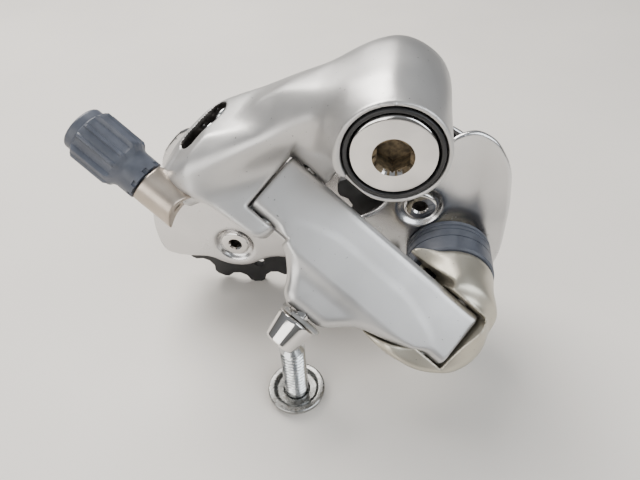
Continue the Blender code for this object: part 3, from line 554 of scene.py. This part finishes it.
SLOT_AT = lk(-19.6, 0, -1.9)
SLOT_OUT = -0.70 * LINK_L + 0.714 * LINK_N
SLOT_ACROSS = 0.714 * LINK_L + 0.70 * LINK_N


def slot_room(p):
    """Oval slot in the arm's sloped end, over the limit screws."""
    low, high, half_width, depth = -4.8, 4.2, 2.35, 3.6
    q = p - SLOT_AT
    b = q @ LINK_P
    r = np.hypot(b - np.clip(b, low, high), q @ SLOT_ACROSS)
    return np.maximum(r - half_width, -depth - q @ SLOT_OUT)


def head_room(p):
    """Pocket round both limit screws' heads."""
    front, back, radius = -17.8, -14.6, 2.2
    q = link_space(p)
    r = np.hypot(q[:, 1] - np.clip(q[:, 1], LIMIT_B["high"], LIMIT_B["low"]), q[:, 2] - LIMIT_C)
    return np.maximum(r - radius, np.maximum(q[:, 0] - back, front - q[:, 0]))


def swing_room():
    """Room for the outer link's heel, up to its full swing."""
    reach = 5.4
    wedge = [(PIN_A + reach * math.cos(t), PIN_C + reach * math.sin(t))
             for t in np.radians(np.linspace(-28, -99, 6))]
    wedge += [(PIN_A - 1.45, PIN_C - 6.8), (PIN_A + 13.5, PIN_C - 32.8), (40.0, -8.0)]
    return slab((LINK_L, LINK_N, -LINK_P), LINK_O, wedge, HALF_W - 0.1, 30.0)


def plate_room(p):
    """Flat seat for the stop plate's disc."""
    return np.maximum(np.hypot(p[:, 0], p[:, 2]) - 11.0, PLATE_SEAT - p[:, 1])


def tab_room(p):
    """Flat seat for the stop plate's tab."""
    flat = np.maximum(np.abs(p[:, 0] + 11.3) - 5.3, np.abs(p[:, 2] - 4.9) - 4.0)
    return np.maximum(flat, PLATE_SEAT - p[:, 1])


def bracket_mass():
    """Housing, arm and fork as one lump, before the holes."""
    housing = rod(ORIGIN, Y_AXIS, 10.24, 0.12, HOUSING_BACK, 0.7, 0.028)
    arm_points = arc_points(84, 172, 8, 8.0, (13.8, 21.4))
    for a, b in ((-18.6, -9.0), (-17.6, -11.2), (-18.6, 0.0), (-17.6, 5.6), (-6.0, 9.4)):
        arm_points += [lk(a, b, -2.4), lk(a - 1.6, b * 0.95, -6.0), lk(a + 0.6, b * 0.9, -8.5)]
    whole_arm = block(arm_points, 3.5, 1.1)

    def arm(p):
        return smax(whole_arm(p), (p - SLOT_AT) @ SLOT_OUT, 3.0)
    fork_ends = ((-12.0, -11.2), (4.6, -10.2), (5.6, -9.6), (-12.0, -4.0), (5.6, 4.0))
    fork_points = [lk(a, b, c) for a, b in fork_ends for c in (-1.9, -12.0)]
    fork_points += [lk(a, b, -14.4) for a, b in ((-3.5, -9.8), (2.2, -9.8), (-3.5, 2.6), (2.2, 2.6))]
    fork = block(fork_points, 2.35)
    ear = block([lk(1.5, 9.4, -3.2), lk(6.0, 9.2, -3.6), lk(-3.0, 9.8, -3.2), lk(1.5, 12.0, -6.0)], 2.6)
    fill = block([lk(1.5, 9.4, -3.2), lk(7.0, 9.2, -3.6), (-9.0, 6.0, -3.0), (-8.5, 13.0, -3.0),
                  (-12.0, 14.0, -6.0)], 2.4)
    shoulder = block([*arc_points(105, 165, 4, 7.0, (8.0, 18.0)), (-19.5, 17.5, 0.5), (-15.5, 17.0, -5.0)],
                     3.2)
    boss = rod(B_SCREW, Z_AXIS, 2.5, 0.0, 6.4, 0.5)
    rib = block([B_SCREW + (x, -2.2, z) for x in (-1.4, 1.0) for z in (1.4, 5.0)]
                + [(-19.0, 20.0, -3.0), (-14.5, 20.0, 0.5), (-15.5, 20.5, -5.0)], 2.0)
    web = block([lk(a, b, c) for a in (-17.5, -11.5) for b, c in ((-14.5, -4.4), (-9.0, -5.5))], 2.2)
    mass = blend([blend([arm, fork], 8.0), ear, fill], 4.0)
    mass = blend([mass, shoulder], 8.0)
    mass = blend([housing, mass], 6.0)
    mass = carve(mass, [rod(ORIGIN, Y_AXIS, 18.5, 24.0, 50.0)], 0.8)
    return blend([mass, rib, boss, web], 2.0)


def bracket_holes():
    """The bolt's stepped bore, room for both links, pin and screw holes, slot and seats."""
    outer_pin, inner_pin = lk(PIN_A, 0, PIN_C), lk(INNER_A, 0, INNER_C)
    eye = 3.9
    return [
        rod(ORIGIN, Y_AXIS, 9.4, -2.0, 2.7),
        rod(ORIGIN, Y_AXIS, 8.6, 0.0, 4.4),
        rod(ORIGIN, Y_AXIS, 6.8, 0.0, 14.5),
        rod(ORIGIN, Y_AXIS, 8.35, 13.5, 30.0),
        plate_room,
        brick((INNER_A, INNER_LOW, -40.0), (60.0, INNER_HIGH, INNER_C + eye)),
        rod(inner_pin, LINK_P, eye, INNER_LOW, INNER_HIGH),
        brick((INNER_A - eye, INNER_LOW, -40.0), (30.0, INNER_HIGH, INNER_C)),
        rod(outer_pin, LINK_P, PIN_BORE, -9.4, 9.2),
        rod(inner_pin, LINK_P, PIN_BORE, -9.4, 2.8),
        slot_room,
        head_room,
        swing_room(),
        *(rod(lk(0, b, LIMIT_C), LINK_L, 1.5, -20.0, 2.0) for b in LIMIT_B.values()),
        rod(B_SCREW, Z_AXIS, 1.5, -9.0, 30.0),
        tab_room,
    ]


def bracket():
    """Upper knuckle: housing, arm and fork flow into one another."""
    mass = bracket_mass()
    between_tines = brick((-0.45, -HALF_W - GAP, -40.0), (60.0, HALF_W + GAP, 20.0))
    field = carve(carve(mass, bracket_holes(), 0.5), [between_tines], 0.7)
    body = skin("bracket_casting", field, (-58, -1, -36), (13, 29, 14), 0.38)
    settle(body, SILVER, "bracket", "silver_paint", "bracket_body")
    # Painted shade: faces inside the slot and round the limit screws' heads take the near-black SHADE
    # material.
    body.data.materials.append(SHADE)
    middles = np.array([poly.center for poly in body.data.polygons]) / MM + (0, HANGER_Y, 0)
    in_recess = np.minimum(slot_room(middles), head_room(middles)) < 0.3
    painted_shade_faces = in_recess & ((middles - SLOT_AT) @ SLOT_OUT < -0.5)
    for poly, inside in zip(body.data.polygons, painted_shade_faces):
        poly.material_index = int(inside)
    cable_tube(mass)


def cable_tube(mass):
    """Tube on the bracket's side that the adjuster screws into."""
    line, middle = lk(0, ADJ_B, ADJ_C), lk(-16, ADJ_B, ADJ_C)
    tube = carve(rod(line, LINK_L, 4.55, -20.6, -9.8, 0.5), [
        rod(line, LINK_L, 3.0, -30.0, -12.4, 0.3),
        rod(line, LINK_L, 1.2, -20.0, 10.0, 0.3),
        rod(lk(-5.6, ADJ_B, 0), LINK_N, 6.4, -30.0, 30.0, 0.3),
        lambda p: mass(p) + 0.25,
    ], 0.3)
    part = skin("cable_tube", tube, middle - 12, middle + 12, 0.26)
    # The tube is the silver casting; its tan colour is a painted warm reflection of the table and painted
    # shade.
    settle(part, PAINTED_WARM_REFLECTION, "bracket", "silver_paint")


def rounded(corners, radius):
    """Outline whose corners are replaced by short curves."""
    out = []
    for i, here in enumerate(corners):
        before, here, after = (np.array(v) for v in (corners[i - 1], here, corners[(i + 1) % len(corners)]))
        one, two = math.dist(before, here), math.dist(after, here)
        reach = min(radius, one * 0.45, two * 0.45)
        p, q = here + (before - here) * reach / one, here + (after - here) * reach / two
        for t in np.linspace(0, 1, 5):
            out.append(tuple(p * (1 - t) ** 2 + 2 * here * t * (1 - t) + q * t * t))
    return out


# The cable boss beside the link, as (a, b); the cage plates, as (x, z).
FLARE = rounded([(10.5, -7.0), (14.0, -11.2), (16.9, -14.3), (18.4, -17.4), (20.1, -18.7), (29.9, -18.5),
                 (33.0, -15.9), (36.0, -13.0), (45.0, -10.3), (49.9, -7.2), (40.0, -4.0), (20.0, -4.0)], 2.6)
OUTER_OUTLINE = rounded([(31.0, -34.0), (28.8, -20.8), (24.0, -13.6), (18.6, -11.0), (13.6, -12.4),
                         (7.0, -21.5), (1.2, -26.6), (-1.8, -32.8), (-8.0, -37.6), (-22.0, -38.0),
                         (-34.0, -31.0), (-46.0, -24.0), (-58.0, -25.0), (-66.0, -36.0), (-68.0, -47.0),
                         (-67.0, -57.4), (-52.0, -55.6), (-46.8, -58.6), (-40.4, -58.6), (-33.0, -53.6),
                         (-12.0, -54.6), (2.0, -58.4), (16.8, -60.4), (27.0, -57.0), (31.0, -48.0)], 6.0)
INNER_OUTLINE = rounded([(25.0, -34.0), (22.0, -20.0), (10.0, -13.0), (-4.0, -17.0), (-10.0, -28.0),
                         (-20.0, -33.0), (-32.0, -28.0), (-46.0, -19.0), (-57.0, -19.5), (-67.0, -30.0),
                         (-68.0, -45.0), (-66.0, -57.0), (-52.0, -57.4), (-44.0, -59.4), (-32.0, -56.0),
                         (-10.0, -49.0), (8.0, -46.0), (20.0, -45.0)], 6.0)


def link_section():
    """The link's section as (b, c): flat face, round shoulders, square back."""
    radius = 2.3
    section = []
    for b0, start in ((HALF_W - radius, 0), (-HALF_W + radius, 90)):
        section += [(b0 + radius * math.cos(t), -radius + radius * math.sin(t))
                    for t in np.radians(np.linspace(start, start + 90, 5))]
    return section + [(-HALF_W, -DEPTH), (HALF_W, -DEPTH)]


def heel(a, reach, side):
    """What lies beyond reach of a pin on one side, below the pin."""
    def field(p):
        q = link_space(p)
        r = np.hypot(q[:, 0] - a, q[:, 2] - PIN_C)
        return np.maximum(np.maximum(reach - r, (a - q[:, 0]) * side), q[:, 2] - PIN_C)
    return field


def outer_link():
    """Satin link: crowned bar that flows into the cable boss."""
    bar = slab((LINK_P, LINK_N, LINK_L), LINK_O, link_section(), 0.0, LINK_LEN, 0.8)
    flare = slab(LINK_ROWS, LINK_O, FLARE, -DEPTH, -0.7, 3.0)
    body = blend([bar, flare], 5.5)
    end = PIN_A + SPAN
    pocket = [(13.0, -5.2), (44.0, -5.2), (44.0, 5.2), (13.0, 5.2)]

    def envelope(p):
        q = link_space(p)
        return smax(np.maximum(-DEPTH - q[:, 2], q[:, 1] - HALF_W), q[:, 2], 0.8)

    def fork_room(p):
        q = link_space(p)
        return smax(q[:, 1] + HALF_W, q[:, 0] - 11.2, 0.4)
    field = carve(lambda p: smax(body(p), envelope(p), 0.3), [
        fork_room,
        heel(PIN_A, 5.0, -1),
        heel(end, 4.6, 1),
        slab(LINK_ROWS, LINK_O, pocket, -12.0, -2.4, 1.0),
        brick((42.0, -4.4, -12.0), (end, 4.4, PIN_C + 0.4)),
        rod(lk(end, 0, PIN_C), LINK_P, 2.2, -4.4, 4.4, 0.1),
        rod(lk(PIN_A, 0, PIN_C), LINK_P, PIN_BORE, -12, 12),
        rod(lk(end, 0, PIN_C), LINK_P, PIN_BORE, -12, 12),
        rod(lk(CLAMP_A, 0, CLAMP_C), -LINK_P, 2.35, 15.0, 24.0),
    ], 0.15)
    corners = np.array([lk(a, b, c) for a in (-1, 59) for b in (-21, 9) for c in (-10, 2)])
    ob = skin("outer_link_casting", field, corners.min(0), corners.max(0), 0.36)
    settle(ob, SILVER, "outer_link", "silver_paint", "outer_link")


def knuckle_mass():
    """Cup, barrel, wing and prong as one lump, before the holes."""
    rim = ((44.0, -11.2), (49.0, -11.4), (55.4, -9.6), (59.9, -6.2), (61.0, -2.6), (59.6, 4.4), (57.4, 8.4),
           (54.0, 9.8), (49.4, 10.2))
    points = []
    for a, b in rim:
        points += [lk(a, b, -2.5), lk(a - 3.0, b * 0.9, -11.0)]
    points += [lk(43.4, -9.6, -14.6), lk(49.0, -9.0, -14.6)]
    cup = block(points, 1.9, 0.7)
    barrel = rod(CAGE_FOOT, Y_AXIS, 9.4, 4.5, 15.8, 2.0, 0.12)
    root = rod(CAGE_FOOT, Y_AXIS, 7.0, -2.0, 12.0, 3.0)
    neck = rod(CAGE_FOOT, Y_AXIS, 10.2, 14.0, 15.95, 0.4)
    nose = rod(CAGE_FOOT, Y_AXIS, 8.5, 12.0, 26.4, 0.4)
    prong = block([lk(38.5, 10.6, -8.5), lk(43.0, 11.3, -7.5), lk(48.0, 10.5, -6.0),
                   lk(46.0, 9.0, -13.0)], 2.6)
    wing = block([lk(37.6, -10.6, -6.2), lk(37.6, -10.6, -9.0), lk(47.0, -10.5, -6.0),
                  lk(47.0, -10.5, -11.0)], 2.3)

    def lobe(p):
        return smax(prong(p), p[:, 1] - 15.9, 0.6)
    body = blend([cup, blend([barrel, root], 2.0)], 6.0)
    body = blend([body, wing, lobe], 2.5)
    return blend([body, neck, nose], 0.4)


def lower_knuckle():
    """Champagne knuckle: cups the link's end and carries the cage pivot."""
    end, inner = PIN_A + SPAN, INNER_A + SPAN
    inner_top = INNER_HIGH - 0.05

    def long_pocket(p):
        q = link_space(p)
        r = np.hypot(q[:, 0] - np.clip(q[:, 0], 36.0, 45.6), q[:, 1] - 8.5)
        return np.maximum(r - 1.1, -13.0 - q[:, 2])
    field = carve(knuckle_mass(), [
        brick((20.0, INNER_LOW, INNER_C - 3.4), (inner + 0.2, inner_top, 5.0)),
        brick((30.0, INNER_LOW, INNER_C + 1), (inner + 2.2, inner_top, 5.0)),
        rod(lk(inner, 0, INNER_C), LINK_P, 3.6, INNER_LOW, INNER_HIGH),
        rod(lk(end, 0, PIN_C), LINK_P, PIN_BORE, -9.3, 9.3),
        rod(lk(inner, 0, INNER_C), LINK_P, PIN_BORE, -9.3, 3.0),
        rod(CAGE_FOOT, Y_AXIS, 6.7, 15.2, 30.0),
        rod(CAGE_FOOT, Y_AXIS, 3.4, 11.2, 30.0),
        slab(LINK_ROWS, LINK_O, FLARE, -DEPTH - 0.4, 6.0, 0.4, 0.6),
        long_pocket,
    ], 0.4)
    link_room = brick((20.0, -HALF_W - GAP, PIN_C - 5.0), (end + 5.2, HALF_W + GAP, 12.0), 0.3)
    field = carve(field, [link_room], 0.2)
    ob = skin("lower_knuckle_casting", field, (-12, -14, -68), (32, 28, -28), 0.38)
    settle(ob, CHAMPAGNE, "lower_knuckle", "champagne_paint", "lower_knuckle_body")


def outer_level(x, z):
    """Middle height of the outer plate: bent flange in front, ringed bolt seats."""
    right = np.clip((x - 6.0) / 16.0, 0, 1) * np.clip((z + 56.0) / 20.0, 0, 1)
    right = right * right * (3 - 2 * right)
    left = np.clip((-54.0 - x) / 10.0, 0, 1)
    seat_height, seat_radius, seat_slope = 1.5, 5.4, 0.32
    seats = 0
    for spot in (GUIDE, TENSION):
        r = np.hypot(x - spot[0], z - spot[2])
        seats = seats + seat_height / (1 + np.exp((r - seat_radius) / seat_slope))
    return CAGE_OUTER_Y + 3.0 * right + 1.2 * left * left + seats


def inner_level(x, z):
    """Middle height of the inner plate: its rear end turned away."""
    return CAGE_INNER_Y + 1.6 * np.clip((-50.0 - x) / 10.0, 0, 1) ** 2


def plate(outline, level):
    """Sheet with an (x, z) outline that follows a level."""
    def field(p):
        flat = polygon(outline, p[:, [0, 2]])
        return smax(flat, np.abs(p[:, 1] - level(p[:, 0], p[:, 2])) - CAGE_PLATE / 2, 0.8)
    return field


def cage_plates():
    """The two pressed plates that carry the pulleys."""
    holes = [rod(v * (1, 0, 1), Y_AXIS, 2.8, 20, 50, 0.2) for v in (GUIDE, TENSION)]
    axle_hole = rod(CAGE_FOOT, Y_AXIS, 3.5, 20, 40, 0.2)
    outer = carve(plate(OUTER_OUTLINE, outer_level), [*holes, axle_hole], 0.3)
    ob = skin("cage_outer_pressing", outer, (-70, 25.6, -62), (33, 34, -9.5), 0.4)
    settle(ob, ALLOY, "cage", "polished_alloy", "cage_outer_plate")
    inner = carve(plate(INNER_OUTLINE, inner_level), holes, 0.3)
    ob = skin("cage_inner_pressing", inner, (-70, 38, -61), (27, 43.5, -11), 0.45)
    settle(ob, ALLOY, "cage", "polished_alloy", "cage_inner_plate")


# ----------------------------------------------------- turned and small pieces


def thread(low, high, pitch, depth):
    """Groove that winds round a shank between two heights, as a wave for spin."""
    def wave(t, h, r):
        if not low < h < high:
            return 0.0
        fade = min(1.0, (h - low) / pitch, (high - h) / pitch)
        return -depth * fade * (0.5 + 0.5 * math.cos(t - 2 * math.pi * h / pitch))
    return wave


def steps(r, low, high, step):
    """Rings of one radius, close enough together to carry a thread."""
    count = max(2, int((high - low) / step))
    return [(r, low + (high - low) * i / count) for i in range(count + 1)]


def ease(distance, width):
    """Rises from 0 to 1 over a width."""
    return max(0.0, min(1.0, distance / width))


def line_socket(ob, at, radius, low, high, mat):
    """Another material for the faces inside a socket."""
    ob.data.materials.append(mat)
    back = at.inverted()
    for poly in ob.data.polygons:
        c = back @ (poly.center / MM + Vector((0, HANGER_Y, 0)))
        if math.hypot(c.x, c.y) < radius and low < c.z < high:
            poly.material_index = 1


def mount_pieces():
    """Mounting bolt with its socket and thread, and the black ring round its head."""
    at = on_y(0, 0)
    head = smooth_profile([(0, -0.45), (3.9, -0.40), (7.2, 0.02), (7.7, 0.18), (7.93, 0.55), (7.93, 2.4),
                           (7.4, 2.8), (5.2, 2.81), (5.2, 24.95), (4.5, 25.0), (4.5, 25.95), (4.9, 26.1)], 3)
    low, high = 26.2, 34.2
    rings = head + steps(4.95, low, high, 0.13) + [(3.9, 34.8), (0, 34.8)]
    bolt = spin("mounting_bolt_turned", rings, at, 72, thread(low, high, 1.25, 0.55))
    drill(bolt, hex_hole(at, 6.0, -1.0, 4.4),
          cone_hole(at, [(0, -1.2), (4.25, -1.2), (3.2, 0.55), (0, 0.55)]))
    settle(bolt, CHROME, "mount", "chrome", "mounting_bolt")
    line_socket(bolt, at, 3.55, -0.2, 6.0, GRIME)
    ring = spin("head_seal", smooth_profile([(8.2, 0.5), (8.3, 0.16), (8.6, 0.05), (8.95, 0.10), (9.1, 0.4),
                                             (9.1, 2.2), (8.2, 2.2), (8.2, 0.5)]), at, 96)
    settle(ring, BLACK, "bracket", "black_plastic", "head_seal_ring")


def ribs(t, h, r):
    """Raised pads round the adjuster's grip, each with a shallow middle."""
    low, high, count = -36.4, -26.4, 6
    if not low < h < high or r < 5.0:
        return 0.0
    off = abs((count * t / (2 * math.pi)) % 1.0 - 0.5)
    pad = ease(0.31 - off, 0.035) - 0.45 * ease(0.17 - off, 0.035)
    return min(ease(h - low, 0.3), ease(high - h, 0.4)) * (0.95 * pad - 0.25)


def adjuster():
    """Ribbed barrel with click notches in its end, and its slotted, threaded sleeve."""
    at = on_link(ADJ_B, ADJ_C)
    lip = (3.6, -38.45)
    crown = smooth_profile([(2.9, -38.5), (3.7, -38.7), (4.9, -38.7), (5.25, -38.3), (5.25, -36.7)], 3)
    rings = [lip] + crown[1:] + steps(5.72, -36.3, -26.6, 0.6) + [(5.2, -25.8), (4.95, -25.4)]
    rings += steps(4.78, -24.8, -21.0, 1.0) + [(2.95, -21.0), (2.95, -36.2), (3.55, -36.3), lip]
    barrel = spin("adjuster_grip", rings, at, 144, ribs, 40)
    notch_count = 8
    spots = ngon(4.9, notch_count, math.pi / notch_count)
    drill(barrel, *(prism(ngon(0.7, 12), at @ Matrix.Translation((x, y, 0)), -21.9, -19.0) for x, y in spots))
    settle(barrel, GREY, "adjuster", "grey_plastic", "adjuster_barrel")
    sleeve = smooth_profile([(1.3, -37.9), (3.1, -37.9), (3.3, -37.6), (3.3, -36.6), (2.6, -36.4)], 3)
    sleeve += steps(2.6, -35.5, -13.4, 0.2) + [(2.3, -12.9), (1.3, -12.9), (1.3, -37.9)]
    winding = thread(-34.0, -13.4, 0.9, 0.3)
    insert = spin("adjuster_sleeve", sleeve, at, 48, lambda t, h, r: winding(t, h, r) if r > 2 else 0)
    drill(insert, prism([(-0.4, -4), (0.4, -4), (0.4, 4), (-0.4, 4)], at, -40, -37.1))
    settle(insert, STEEL, "adjuster", "steel", "adjuster_insert")


def clamp():
    """Chrome cone of the cable clamp."""
    at = place(lk(CLAMP_A, 0, CLAMP_C), LINK_L, -LINK_P)
    rings = smooth_profile([(0, 8.6), (1.9, 8.6), (2.0, 9.0), (2.0, 20.3), (4.45, 20.3), (4.75, 20.6),
                            (4.72, 21.2), (3.85, 26.8), (3.5, 27.2), (0, 27.2)])
    bolt = spin("clamp_bolt_turned", rings, at, 72)
    drill(bolt, hex_hole(at, 5.0, 23.6, 30.0),
          cone_hole(at, [(0, 28.2), (3.6, 28.2), (2.7, 26.6), (0, 26.6)]))
    settle(bolt, CHROME, "clamp", "chrome", "clamp_bolt")
    # Painted shade inside the hex socket.
    line_socket(bolt, at, 2.9, 23.0, 26.6, SHADE)


def stand():
    """Machine screw with a flanged washer, upright on the table."""
    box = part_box("stand_screw")
    x, y = ((box[0][i] + box[1][i]) / 2 / MM for i in (0, 1))
    upright = place((x, y + HANGER_Y, box[0][2] / MM), (1, 0, 0), Z_AXIS)
    rings = smooth_profile([(0, 0.0), (4.9, 0.0), (5.2, 0.3), (5.2, 1.0), (3.15, 1.1), (3.1, 3.0)], 3)
    rings += steps(3.15, 3.2, 20.2, 0.16) + [(2.2, 21.4), (0, 21.4)]
    screw = spin("stand_screw_turned", rings, upright, 64, thread(2.6, 20.6, 1.25, 0.62), 50)
    settle(screw, ZINC, "outer_link", "zinc", "stand_screw")
    rings = smooth_profile([(3.45, 1.3), (7.2, 1.3), (7.5, 1.6), (7.5, 2.5), (7.2, 2.75), (5.9, 2.75),
                            (5.2, 1.95), (3.45, 1.95), (3.45, 1.3)])
    washer = spin("stand_washer_turned", rings, upright, 72)
    settle(washer, GRIMY, "outer_link", "steel", "stand_washer")


def limit_screws():
    """Two cross-slotted screws whose heads show in the bracket's slot."""
    for name, b in LIMIT_B.items():
        at = on_link(b, LIMIT_C)
        rings = smooth_profile([(0, -18.6), (1.65, -18.6), (1.95, -18.3), (1.95, -15.5), (1.25, -15.4)], 3)
        rings += steps(1.25, -15.2, -2.4, 0.1) + [(0.75, -1.6), (0, -1.6)]
        screw = spin("limit_screw_turned_" + name, rings, at, 40, thread(-15.2, -2.3, 0.7, 0.2))
        for wide, tall in ((1.4, 0.28), (0.28, 1.4)):
            cross = [(-wide, -tall), (wide, -tall), (wide, tall), (-wide, tall)]
            drill(screw, prism(cross, at, -20, -17.6))
        settle(screw, ZINC, name + "_screw", "zinc", "limit_screw_" + name)


def collar():
    """Grey collar between the knuckle and the cage, with two fine grooves and a wide one."""
    at = on_y(CAGE[0], CAGE[2])
    rings = [(8.8, 16.1), (10.5, 16.1), (10.95, 16.5)]
    for low in (20.6, 23.2):
        rings += [(11.0, low - 0.5), (11.0, low), (10.78, low + 0.08), (10.78, low + 0.26),
                  (11.0, low + 0.34)]
    rings += [(11.0, 24.3), (10.7, 24.45), (10.7, 24.95), (11.0, 25.1), (11.0, 26.1), (10.7, 26.5),
              (8.8, 26.5), (8.8, 16.1)]
    ring = spin("collar_turned", rings, at, 112, None, 25)
    settle(ring, GREY, "lower_knuckle", "grey_plastic", "knuckle_collar")


def pulley_bolts():
    """Button-headed socket screws through the two pulleys."""
    for label, spot in (("guide", GUIDE), ("tension", TENSION)):
        at = on_y(spot[0], spot[2])
        rings = smooth_profile([(0, 27.4), (3.6, 27.4), (4.1, 27.65), (4.25, 28.05), (4.25, 28.4),
                                (2.5, 28.41), (2.5, 41.5), (2.2, 41.8), (0, 41.8)])
        bolt = spin(label + "_bolt_turned", rings, at, 64)
        drill(bolt, hex_hole(at, 3.0, 26.0, 29.6),
              cone_hole(at, [(0, 26.6), (2.6, 26.6), (1.7, 27.9), (0, 27.9)]))
        settle(bolt, CHROME, "cage", "chrome", label + "_pulley_bolt")
        # Painted shade inside the hex socket.
        line_socket(bolt, at, 1.78, 27.8, 30.0, SHADE)


def dress_small_nodes():
    """Bevelled edges and real materials for the pieces kept as the CAD has them."""
    looks = {"steel": STEEL, "zinc": ZINC, "spring_steel": DARK_STEEL, "black_plastic": BLACK,
             "brass": BRONZE, "polished_alloy": ALLOY, "chrome": CHROME, "silver_paint": SILVER,
             "champagne_paint": CHAMPAGNE, "grey_plastic": GREY}
    for part in frame["record"]["subparts"]:
        ob = frame["nodes"][part["node"]]
        ob.data.materials.clear()
        ob.data.materials.append(looks[part["material_slot"]])
        if "spring" in part["node"]:
            mod = ob.modifiers.new("round", 'SUBSURF')
            mod.levels = mod.render_levels = 1
        else:
            mod = ob.modifiers.new("edge", 'BEVEL')
            mod.width, mod.segments = 0.14 * MM, 2
            mod.limit_method, mod.angle_limit = 'ANGLE', math.radians(35)


# ------------------------------------------------------------ studio, camera


def floor():
    """Pale table under the part's lowest point."""
    bpy.ops.mesh.primitive_plane_add(size=8.0, location=(0, 0, CAD_BOX[0][2]))
    ob = bpy.context.object
    ob.name = "studio_floor"
    ob.data.materials.append(material("pale_floor", (0.72, 0.68, 0.63), 0.55, 0.0, 0.05, 900, 0.02, 9))


def sky():
    """Even room light, warmer and darker low down."""
    world = bpy.data.worlds.new("studio_world")
    bpy.context.scene.world = world
    world.use_nodes = True
    nodes, links = world.node_tree.nodes, world.node_tree.links
    split = nodes.new("ShaderNodeSeparateXYZ")
    rise = nodes.new("ShaderNodeMapRange")
    tint = nodes.new("ShaderNodeMix")
    tint.data_type = 'RGBA'
    tint.inputs[6].default_value = (0.42, 0.41, 0.40, 1)
    tint.inputs[7].default_value = (0.90, 0.95, 1.0, 1)
    for key, value in (("From Min", -0.05), ("From Max", 0.75)):
        rise.inputs[key].default_value = value
    links.new(nodes.new("ShaderNodeTexCoord").outputs["Generated"], split.inputs["Vector"])
    links.new(split.outputs["Z"], rise.inputs["Value"])
    links.new(rise.outputs["Result"], tint.inputs["Factor"])
    links.new(tint.outputs[2], nodes["Background"].inputs["Color"])
    nodes["Background"].inputs["Strength"].default_value = 0.34


def lamps():
    """Three soft rectangles: offset from the part's middle, size, power in watts, colour."""
    middle = Vector((CAD_BOX[0] + CAD_BOX[1]) / 2)
    for name, offset, size, power, colour in (
            ("key", (-0.28, 0.32, 0.55), (0.50, 0.40), 9.0, (1.0, 0.97, 0.93)),
            ("fill", (0.50, -0.25, 0.40), (0.60, 0.50), 4.0, (0.90, 0.95, 1.0)),
            ("front", (-0.30, -0.50, 0.22), (0.60, 0.35), 2.5, (1.0, 0.98, 0.95))):
        light = bpy.data.lights.new(name, 'AREA')
        light.shape = 'RECTANGLE'
        light.size, light.size_y = size
        light.energy, light.color = power, colour
        ob = bpy.data.objects.new(name, light)
        bpy.context.scene.collection.objects.link(ob)
        ob.location = middle + Vector(offset)
        ob.rotation_euler = (middle - ob.location).to_track_quat('-Z', 'Y').to_euler()


def camera():
    """Azimuth -9.7 degrees, 42.3 degrees above the table, rolled slightly, quite close."""
    data = bpy.data.cameras.new("photo_camera")
    data.sensor_width, data.lens, data.clip_start = 36.0, 27.92, 0.005
    ob = bpy.data.objects.new("photo_camera", data)
    bpy.context.scene.collection.objects.link(ob)
    forward = Vector((-0.12428, 0.72956, -0.67253))
    roll = math.radians(-2.40)
    level = forward.cross(Vector((0, 0, 1))).normalized()
    above = level.cross(forward)
    right = level * math.cos(roll) + above * math.sin(roll)
    up = right.cross(forward)
    m = Matrix((right, up, -forward)).transposed().to_4x4()
    m.translation = Vector((-0.000888, -0.100374, 0.047735))
    ob.matrix_world = m
    bpy.context.scene.camera = ob


dress_small_nodes()
bracket()
outer_link()
lower_knuckle()
cage_plates()
mount_pieces()
adjuster()
clamp()
stand()
limit_screws()
collar()
pulley_bolts()
floor()
sky()
lamps()
camera()
